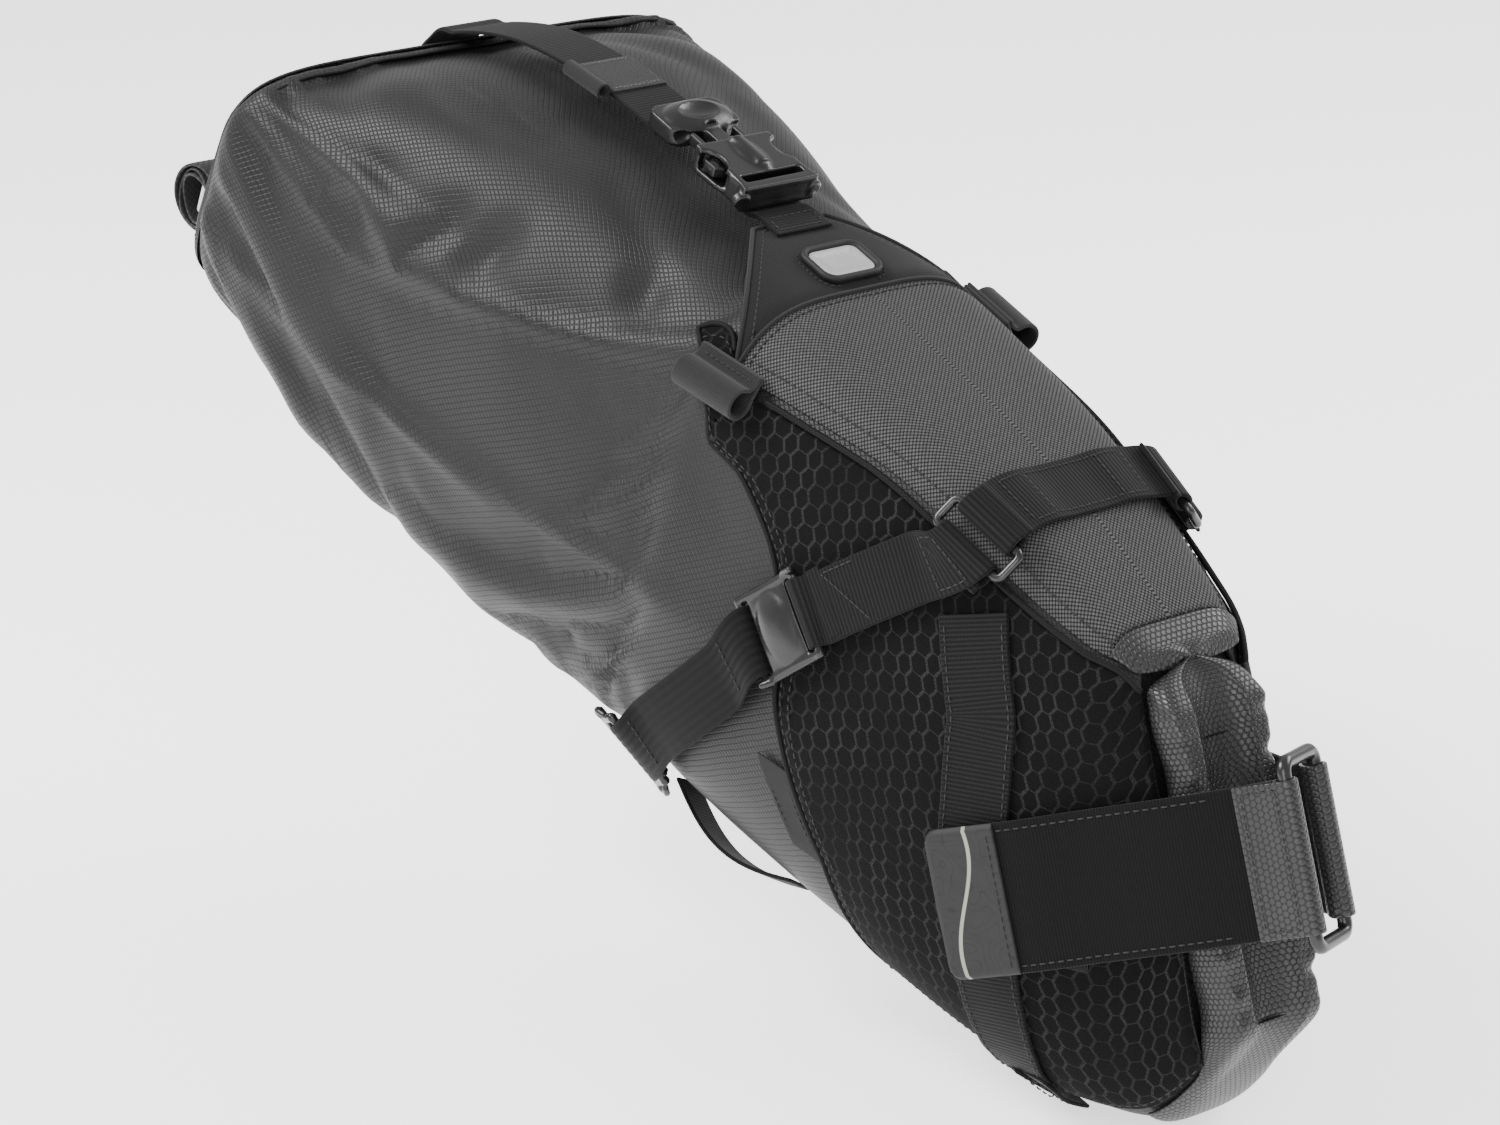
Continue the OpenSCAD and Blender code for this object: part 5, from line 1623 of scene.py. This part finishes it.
def hook_loop(side, tag):
    i = np.linspace(0, 1, 15)
    s = mix(4.2, 5.25, i)
    t = np.full(s.shape, 237.0)
    points = skin(s, t) + (0.6 + 8 * np.sin(np.pi * i))[:, None] * normal(s, t)
    strap = Strap(points, normal(s, t), 14, WEB_THICK)
    strap.mesh("hook_loop_" + tag, "webbing", "bag", ("hook_loop_" + tag,), side)


def band_landing():
    r, c = np.meshgrid(spread(20, 0.02), spread(30, 0.02), indexing="ij")
    s, h = mix(7.98, 8.7, r), mix(0.2, -0.3, c)
    t = side_angle(s, h)
    fuzz = RNG.normal(0, 0.08, s.shape)
    uv = surface_uv(s, t)
    low = SKIN_GAP + PANEL + 0.35
    shell("band_landing", lift(s, t, low + 0.8 + fuzz), lift(s, t, low), uv, "fastener_tape", "bag",
          ("band_landing",))


# ---------------------------------------------------------------- seatpost ring and band

NEAR_BAR = 21.5 * np.array([math.cos(math.radians(-12)), math.sin(math.radians(-12))])
FAR_BAR = 21.5 * np.array([math.cos(math.radians(58)), math.sin(math.radians(58))])
POST_HOLE = 5.0 / 2 + 0.35
BAND_THICK = 2.0
BAND_WIDTH = 50.0
BAND_POINTS = np.array([(-84, -67.5), (-57, -56.5), (-38, -44), (-11, -27.7)])
BAND_LINE = unit(BAND_POINTS[3] - NEAR_BAR)


def post_strap(points, outward, width, thick):
    """A strap that stands along the seatpost: points and outward vectors seen from above."""
    return Strap(POST.at(at_height(points, 0)), POST.turned(at_height(outward, 0)), width, thick,
                 sides=np.tile(POST.z, (len(points), 1)))


def outward_of(points):
    d = unit(np.gradient(np.asarray(points, float), axis=0))
    return np.stack([d[:, 1], -d[:, 0]], -1)


def seatpost_band():
    line = np.concatenate([BAND_POINTS, [NEAR_BAR + 5.2 * BAND_LINE]])
    out = outward_of(line)
    strap = post_strap(line - out, out, BAND_WIDTH, BAND_THICK)
    strap.mesh("seatpost_band", "band_webbing", "seatpost_band", ("seatpost_band",), ribs=1.1,
               rib_height=0.12)
    for u in (-22.8, 22.8):
        sew_strap("seatpost_band", strap, np.linspace(20, strap.length - 20, 60), u, pitch=3.2)


def bar_sleeve(name, bar, d, n, body, replaces):
    """Coated fabric folded round a bar of the seatpost ring, sewn to both faces of its strap,
    which leaves the bar along d and faces out along n."""
    front, back, low, high = 17.0, 12.0, 1.15, 1.2
    points = [bar + d * front + n * low, bar + d * (front * 0.6) + n * high,
              bar + d * 5.0 + n * 2.2]
    ups = [n, n, n]
    for a in np.radians(np.linspace(90, -90, 15)):
        radial = -math.cos(a) * d + math.sin(a) * n
        points.append(bar + POST_HOLE * radial)
        ups.append(radial)
    points += [bar + d * 5.0 - n * 2.2, bar + d * (back * 0.7) - n * high,
               bar + d * back - n * low]
    ups += [-n, -n, -n]
    strap = post_strap(np.array(points), np.array(ups), BAND_WIDTH + 0.6, 1.3)
    strap.mesh(name, "coated_fabric", body, replaces, rib_height=0.0)
    for way in (2.0, front - 3.0):
        sew_strap(body, strap, way, np.linspace(-22.5, 22.5, 30), pitch=3.0)
    for u in (-22.8, 22.8):
        sew_strap(body, strap, np.linspace(2.0, front - 3.0, 8), u, pitch=3.0)


def band_wrap():
    out = np.array([-BAND_LINE[1], BAND_LINE[0]])
    if out[1] > 0:
        out = -out
    bar_sleeve("band_wrap", NEAR_BAR, BAND_LINE, out, "seatpost_band", ("band_wrap",))


def ring_anchor():
    line = unit(np.array([-12, 28.5]) - FAR_BAR)
    out = np.array([-line[1], line[0]])
    if out[1] < 0:
        out = -out
    points = np.array([FAR_BAR + 5.4 * line, (-12, 28.5), (-38, 43), (-57, 54)])
    d = unit(np.gradient(points, axis=0))
    n = np.stack([-d[:, 1], d[:, 0]], -1)
    n *= np.sign(n[:, 1:2])
    strap = post_strap(points - n, n, BAND_WIDTH, BAND_THICK)
    strap.mesh("ring_anchor", "band_webbing", "bag", ("ring_anchor",), ribs=1.1, rib_height=0.12)
    bar_sleeve("anchor_sleeve", FAR_BAR, line, out, "bag", ())


def pull_tab():
    rear = BAND_POINTS[0] + [-2.2, -0.9]
    front = BAND_POINTS[0] + 0.8 * (BAND_POINTS[1] - BAND_POINTS[0])
    d = unit(front - rear)
    n = np.array([d[1], -d[0]])
    length = np.linalg.norm(front - rear)
    corner = 4.0
    way = np.concatenate([[0, 0.3, 1.0, 2.2, 4.0], np.linspace(5.5, length - 0.4, 30), [length]])
    rows_out, rows_in, uv = [], [], []
    shares = np.linspace(-1, 1, 40)
    for x in way:
        back_off = corner - math.sqrt(max(corner ** 2 - (corner - min(x, corner)) ** 2, 0))
        half = (BAND_WIDTH + 1) / 2 - back_off
        z = shares * half
        base = rear + d * x
        edge = np.minimum(half - np.abs(z), 1.0)
        top = 1.2 + 1.8 * np.sqrt(np.clip(edge, 0.02, 1)) * (1 if x > 0.6 else 0.75)
        p = lambda h: POST.at(np.stack([base[0] + n[0] * h, base[1] + n[1] * h, z], -1))
        rows_out.append(p(top))
        rows_in.append(p(np.full(z.shape, 1.2)))
        uv.append(np.stack([z, np.full(z.shape, x)], -1))
    shell("pull_tab", np.array(rows_out), np.array(rows_in), np.array(uv), "tab_rubber", "seatpost_band",
          ("pull_tab",), rounded=0.3)
    x = length - 2.2
    z = np.linspace(-23.5, 23.5, 30)
    seam = rear + d * x + n * 3.05
    p = POST.at(np.stack([np.full(30, seam[0]), np.full(30, seam[1]), z], -1))
    sew("seatpost_band", p, np.tile(POST.turned(np.array([n[0], n[1], 0.0])), (30, 1)), pitch=3.0)


def seatpost_ring():
    middle = (NEAR_BAR + FAR_BAR) / 2
    chord = FAR_BAR - NEAR_BAR
    y = POST.turned(np.array([chord[0], chord[1], 0]) / np.linalg.norm(chord))
    place = Frame(POST.at(np.array([middle[0], middle[1], 0])), POST.z, y, np.cross(POST.z, y))
    wire_ring("seatpost_ring", place, BAND_WIDTH + 4, float(np.linalg.norm(chord)), 5.0,
              "seatpost_ring")


# ---------------------------------------------------------------- roll closure

MOUTH_TOP, MOUTH_LOW = STATIONS[0][:2], STATIONS[0][2:4]
MOUTH_HEIGHT = float(np.linalg.norm(MOUTH_TOP - MOUTH_LOW))
MOUTH_TILT = math.atan2(MOUTH_TOP[0] - MOUTH_LOW[0], MOUTH_TOP[1] - MOUTH_LOW[1])
MOUTH = Frame((MOUTH_LOW[0], 0, MOUTH_LOW[1]), (math.sin(MOUTH_TILT), 0, math.cos(MOUTH_TILT)),
              (0, 1, 0), (-math.cos(MOUTH_TILT), 0, math.sin(MOUTH_TILT)))
ROLL_UP, ROLL_BACK, ROLL_RADIUS, ROLL_HALF = 40.0, 17.0, 15.0, 100.0


def roll_collar():
    """Fabric from the rim of the mouth in to the roll, gathered in soft pleats."""
    cols = 144
    share = np.arange(cols) / cols * 2 - 1
    t = angle_at(np.zeros(cols), share)
    rim_points = lift(0.0, t, 0.2 - RIM_CURL, False)
    up = (rim_points - MOUTH.origin) @ MOUTH.x
    y = rim_points[:, 1]
    slit_up = ROLL_UP + 12.3 * np.clip((up - ROLL_UP) / 26, -1, 1)
    slit_y = ROLL_HALF * 0.985 * np.sign(y) * np.minimum((np.abs(y) / 111) ** 0.75, 1)
    q = np.concatenate([[0, 0.015, 0.05], np.linspace(0.1, 1, 26)])[:, None]
    pleat = np.sin(share * 41 + 1.5 * np.sin(share * 9)) * 0.9 + 0.6 * np.sin(share * 67 + 1)
    back = 1.7 + 6.4 * (1 - (1 - q) ** 2.2) + pleat * 1.1 * np.sin(np.pi * q) + 1.2 * np.sin(np.pi * q)
    bow = 1.5 * np.sin(np.pi * q) * np.sin(share * 5)
    p_up = mix(up, slit_up, q) + bow * 0.3
    p_y = mix(y, slit_y, q)
    scale = 1 - 0.006 * np.exp(-(q / 0.03) ** 2)
    outer, inner = (MOUTH.at(np.stack([p_up, p_y * scale, back - h], -1)) for h in (0.0, 1.2))
    total = np.interp(0.0, S_GRID, ARC[:, -1])
    round_way = np.linspace(-total, total, cols + 1)
    uv = np.stack(np.meshgrid(q[:, 0] * 45, round_way, indexing="ij")[::-1], -1)
    shell("roll_collar", outer, inner, uv, "ripstop", "roll", wrap=True, rounded=0.4)


def rolled_layers():
    turns, first = 3.1, math.radians(200)
    a = np.linspace(0, 2 * math.pi * turns, 190)
    radius = ROLL_RADIUS - 0.75 - 1.75 * a / (2 * math.pi)
    y = np.concatenate([[-1, -0.992], np.linspace(-0.97, 0.97, 62), [0.992, 1]])
    wobble = 0.35 * np.sin(y * 23)[None, :] * np.sin(a * 1.3)[:, None] - 0.25 * np.cos(y * 9)[None, :]
    end = (ROLL_HALF - 0.8 + 0.9 * np.sin(a * 1.7))[:, None] * y[None, :]
    r = radius[:, None] + np.minimum(wobble, 0.1) * np.exp(-a / 9)[:, None]
    make_grid = lambda rr: MOUTH.at(np.stack([ROLL_UP + rr * np.cos(a + first)[:, None], end,
                                              ROLL_BACK + rr * np.sin(a + first)[:, None]], -1))
    way = np.concatenate([[0], np.cumsum(np.abs(np.diff(a)) * radius[1:])])
    uv = np.stack(np.meshgrid(way, y * ROLL_HALF, indexing="ij")[::-1], -1)
    shell("roll_closure", make_grid(r + 0.6), make_grid(r - 0.6), uv, "ripstop", "roll",
          ("roll_closure",))
    moulded("roll_stiffener", [prism(rounded_outline(-7.2, 7.2, 97, 1.5), -1.4, 1.4)], [],
            Frame(MOUTH.at([ROLL_UP, 0, ROLL_BACK]), MOUTH.x, MOUTH.y, MOUTH.z),
            "stiffener_sheet", "roll", voxel=0.8, rounds=2)


STRAP_FRONT, STRAP_RISE = 2.42, 1.6


def closure_strap():
    start = BUCKLE.at(np.array([(-24.2, 0, 3.4), (-24.3, 0, 0.8), (-25.6, 0, -1.6)], float))
    start_up = BUCKLE.turned(np.array([(-1, 0, 0), (-1, 0, 0.15), (-0.6, 0, 0.8)], float))
    s = np.linspace(STRAP_FRONT - 0.12, 0.12, 14)
    wave = 0.35 * np.sin(np.linspace(0, 9, 14))
    top = skin(s, 90.0) + (STRAP_RISE + wave)[:, None] * normal(s, 90.0)
    roll_out = ROLL_RADIUS + 0.6
    over = MOUTH.at(np.array([(MOUTH_HEIGHT + 1.4, 0, 3), (MOUTH_HEIGHT - 8, 0, 9.5)]))
    over_up = unit(MOUTH.turned(np.array([(1, 0, 0.6), (0.5, 0, 1)], float)))
    a = np.radians(np.array([60, 30, 0, -30, -60, -85], float))
    round_ = MOUTH.at(np.stack([ROLL_UP + roll_out * np.sin(a), 0 * a,
                                ROLL_BACK + roll_out * np.cos(a)], -1))
    round_up = MOUTH.turned(np.stack([np.sin(a), 0 * a, np.cos(a)], -1))
    tail = MOUTH.at(np.array([(9, 0, 7.5), (3, 0, 3.2)], float))
    tail_up = unit(MOUTH.turned(np.array([(0, 0, 1), (-0.5, 0, 1)], float)))
    strap = Strap(np.concatenate([start, top, over, round_, tail]),
                  np.concatenate([start_up, normal(s, 90.0), over_up, round_up, tail_up]),
                  WEBBING, WEB_THICK)
    piece = strap.mesh("closure_strap", "webbing", None, ("closure_strap",))
    (BUCKLE.at([-33.0, 0, 0]) * MM).tolist()
    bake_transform(piece)


def closure_patch():
    s = 1.78 - 0.1 * np.arange(-2, 3)
    points = skin(s, 90.0) + (STRAP_RISE + WEB_THICK + 0.2) * normal(s, 90.0)
    strap = Strap(points, normal(s, 90.0), WEBBING - 1, 1.0)
    strap.mesh("closure_patch", "fastener_tape", "roll", ("closure_patch",), rib_height=0.0)
    for way0 in (1.6, strap.length - 1.6):
        for jitter in (0.0, 0.7):
            u = np.linspace(-10.5, 10.5, 24)
            way = way0 + jitter + RNG.normal(0, 0.25, 24)
            sew_strap("pale_roll", strap, way, u, height=0.08, pitch=1.9, length=1.5, radius=0.22)


def closure_keeper():
    place = frame_at(1.78, 90, STRAP_RISE)
    centre_y, centre_z, outer = -WEBBING / 2 - 3.3, 2.4, 3.0
    line, ups = [], []
    for a in np.radians(np.linspace(-60, 285, 30)):
        line.append((0, centre_y + outer * math.cos(a), centre_z + outer * math.sin(a)))
        ups.append((0, -math.cos(a), -math.sin(a)))
    strap = Strap(place.at(np.array(line)), place.turned(np.array(ups)), 22, 0.9,
                  sides=np.tile(place.x, (len(line), 1)), step=0.5)
    strap.mesh("closure_keeper", "loop_webbing", "roll", ("closure_keeper",), ribs=0.7, rib_height=0.05)


# ---------------------------------------------------------------- side-release buckle

def buckle_socket():
    outline = [(0, 15.4), (3, 16.8), (14, 16.4), (20, 15.2), (25, 15.6), (31, 17.0)]
    outline = outline + [(x, -h) for x, h in outline[::-1]]
    adds = [prism(outline, 0.4, 2.6), prism(outline, 8.4, 10.6),
            block((17.5, -14.6, 0.6), (22.5, 14.6, 10.4)),
            block((0, -16.4, 0.6), (3.2, 16.4, 10.6)),
            rod((27.6, -16.0, 5.2), (31.0, -16.6, 4.4), 3.2), rod((27.6, 16.0, 5.2), (31.0, 16.6, 4.4), 3.2),
            block((27.2, -16.4, 0.8), (30.8, 16.4, 8.6)),
            block((20, -16.0, 0.8), (31, -13.4, 9.6)), block((20, 13.4, 0.8), (31, 16.0, 9.6)),
            ball((11, 0, 9.6), (12.5, 5.6, 2.9)), rod((2, 0, 9.4), (19, 0, 9.4), 3.6)]
    cuts = [block((-2, -13.4, 2.9), (17.3, 13.4, 8.1)),
            block((3.4, -20, 2.7), (16.6, -11.8, 8.3)), block((3.4, 11.8, 2.7), (16.6, 20, 8.3)),
            ball((11, 17.5, 10.4), (7.5, 5.6, 4.5)), ball((11, -17.5, 10.4), (7.5, 5.6, 4.5)),
            block((22.9, -13.2, -2), (27.0, 13.2, 14))]
    moulded("buckle_socket", adds, cuts, BUCKLE, "buckle_plastic", "bag", voxel=0.45)


def buckle_plug():
    outline = rounded_outline(-31, -11.8, 15.6, 5)
    adds = [prism(outline, 0.8, 7.4), ball((-20.5, 0, 6.2), (10.2, 15.2, 4.6)),
            block((-14, -3.4, 3.3), (14.6, 3.4, 7.7)), rod((-13, 0, 8.2), (-11.9, 0, 8.2), 3.0)]
    cuts = [ball((-20.6, 0, 12.6), (7.0, 10.6, 4.4)), block((-26.8, -13.1, -2), (-22.6, 13.1, 5.6)),
            ball((-11.6, 13.4, 5.4), (2.6, 5.2, 3.0)), ball((-11.6, -13.4, 5.4), (2.6, 5.2, 3.0))]
    moulded("buckle_plug", adds, cuts, BUCKLE, "buckle_plastic", "buckle_plug", voxel=0.45)


def buckle_prong(side, tag):
    y, low, high = 9.5, 3.4, 7.6
    outline = [(-10, y - 1.2), (12, y - 1.2), (14, y), (14, 12.4), (12, 16.0), (6, 16.0),
               (4.4, 12), (4, y + 1.2), (-10, y + 1.2), (-11, y)]
    adds = [prism(outline, low, high), ball((9, 13.4, 5.5), (4.4, 2.9, 2.7))]
    moulded("buckle_prong_" + tag, adds, [], BUCKLE, "buckle_plastic", "prong_" + tag, side,
            voxel=0.36, rounds=3)


def tongue_webbing():
    start = BUCKLE.at(np.array([(24.6, 0, 3.4), (24.7, 0, 0.6), (26.2, 0, -1.9), (31, 0, -1.9)], float))
    start_up = BUCKLE.turned(np.array([(1, 0, 0), (1, 0, 0.15), (0.5, 0, 0.9), (0, 0, 1)], float))
    s = np.linspace(3.42, 3.72, 4)
    heights = np.array([1.6, 2.6, 2.6, 2.6])
    run = skin(s, 90.0) + heights[:, None] * normal(s, 90.0)
    strap = Strap(np.concatenate([start, run]), np.concatenate([start_up, normal(s, 90.0)]),
                  WEBBING - 1, WEB_THICK)
    strap.mesh("tongue_webbing", "webbing", "bag", ("tongue_webbing",))
    stitch_box("bag", strap, strap.length - 9, strap.length - 1.5)


# ---------------------------------------------------------------- stage

def stage():
    low = float(cad_low[2]) - 0.004
    size = 14.0
    corners = [(x * size, y * size, low) for x, y in ((-1, -1), (1, -1), (1, 1), (-1, 1))]
    floor = add_mesh("floor", corners, [(0, 1, 2, 3)])
    k = Look("floor")
    k.finish((0.88, 0.88, 0.885, 1), 0.9, Specular_IOR_Level=0.1)
    k.shader.inputs["Emission Color"].default_value = (1, 1, 1, 1)
    k.shader.inputs["Emission Strength"].default_value = 1.3
    floor.data.materials.append(k.material)
    world = bpy.data.worlds.new("studio")
    bpy.context.scene.world = world
    world.use_nodes = True
    background = world.node_tree.nodes["Background"]
    background.inputs["Color"].default_value = (1.0, 1.0, 1.0, 1)
    background.inputs["Strength"].default_value = 1.0


def soft_light(name, place, size, power):
    data = bpy.data.lights.new(name, "AREA")
    data.shape = "RECTANGLE"
    data.size, data.size_y = size
    data.energy = power
    lamp = add_object(name, data)
    lamp.location = place
    lamp.rotation_mode = "QUATERNION"
    aim = Vector((-0.26, 0.0, 0.04))
    lamp.rotation_quaternion = (aim - Vector(place)).to_track_quat("-Z", "Y")


def lights():
    soft_light("key", (-0.9, -1.1, 1.5), (1.2, 0.8), 62)
    soft_light("front", (1.1, -1.3, 0.7), (0.9, 1.2), 22)
    soft_light("back", (0.2, 1.6, 1.2), (1.4, 0.8), 34)


# ---------------------------------------------------------------- assembly

stage()
lights()
bag_fabric()
bag_nose_wall()
mouth_hem()
top_panel()
tongue_panel()
nose_cover()
nose_pad()
stiffeners()
badge()
side_label()
cross_webbing()
for side, tag in ((RIGHT, "right"), (LEFT, "left")):
    side_panel(side, tag)
    piping(side, tag)
    side_webbing(side, tag)
    keeper_loop(side, tag)
    hook_loop(side, tag)
    wire_ring("rail_ring_" + tag, RING, WEBBING + 2, RING_GAP, RING_WIRE, "ring_" + tag, side)
    rail_strap(side, tag)
    elastic(side, tag)
    hook_plate(side, tag)
    lower_hook(side, tag)
    buckle_prong(-side, tag)
band_landing()
ring_anchor()
seatpost_ring()
seatpost_band()
band_wrap()
pull_tab()
roll_collar()
rolled_layers()
closure_strap()
closure_patch()
closure_keeper()
buckle_socket()
buckle_plug()
tongue_webbing()
for body, threads in THREADS.items():
    pale = body.startswith("pale_")
    place_body = body[5:] if pale else body
    piece = threads.mesh(("pale_" if pale else "") + "stitching_" + place_body, place_body)
    piece.data.materials.append(material("pale_thread" if pale else "thread"))
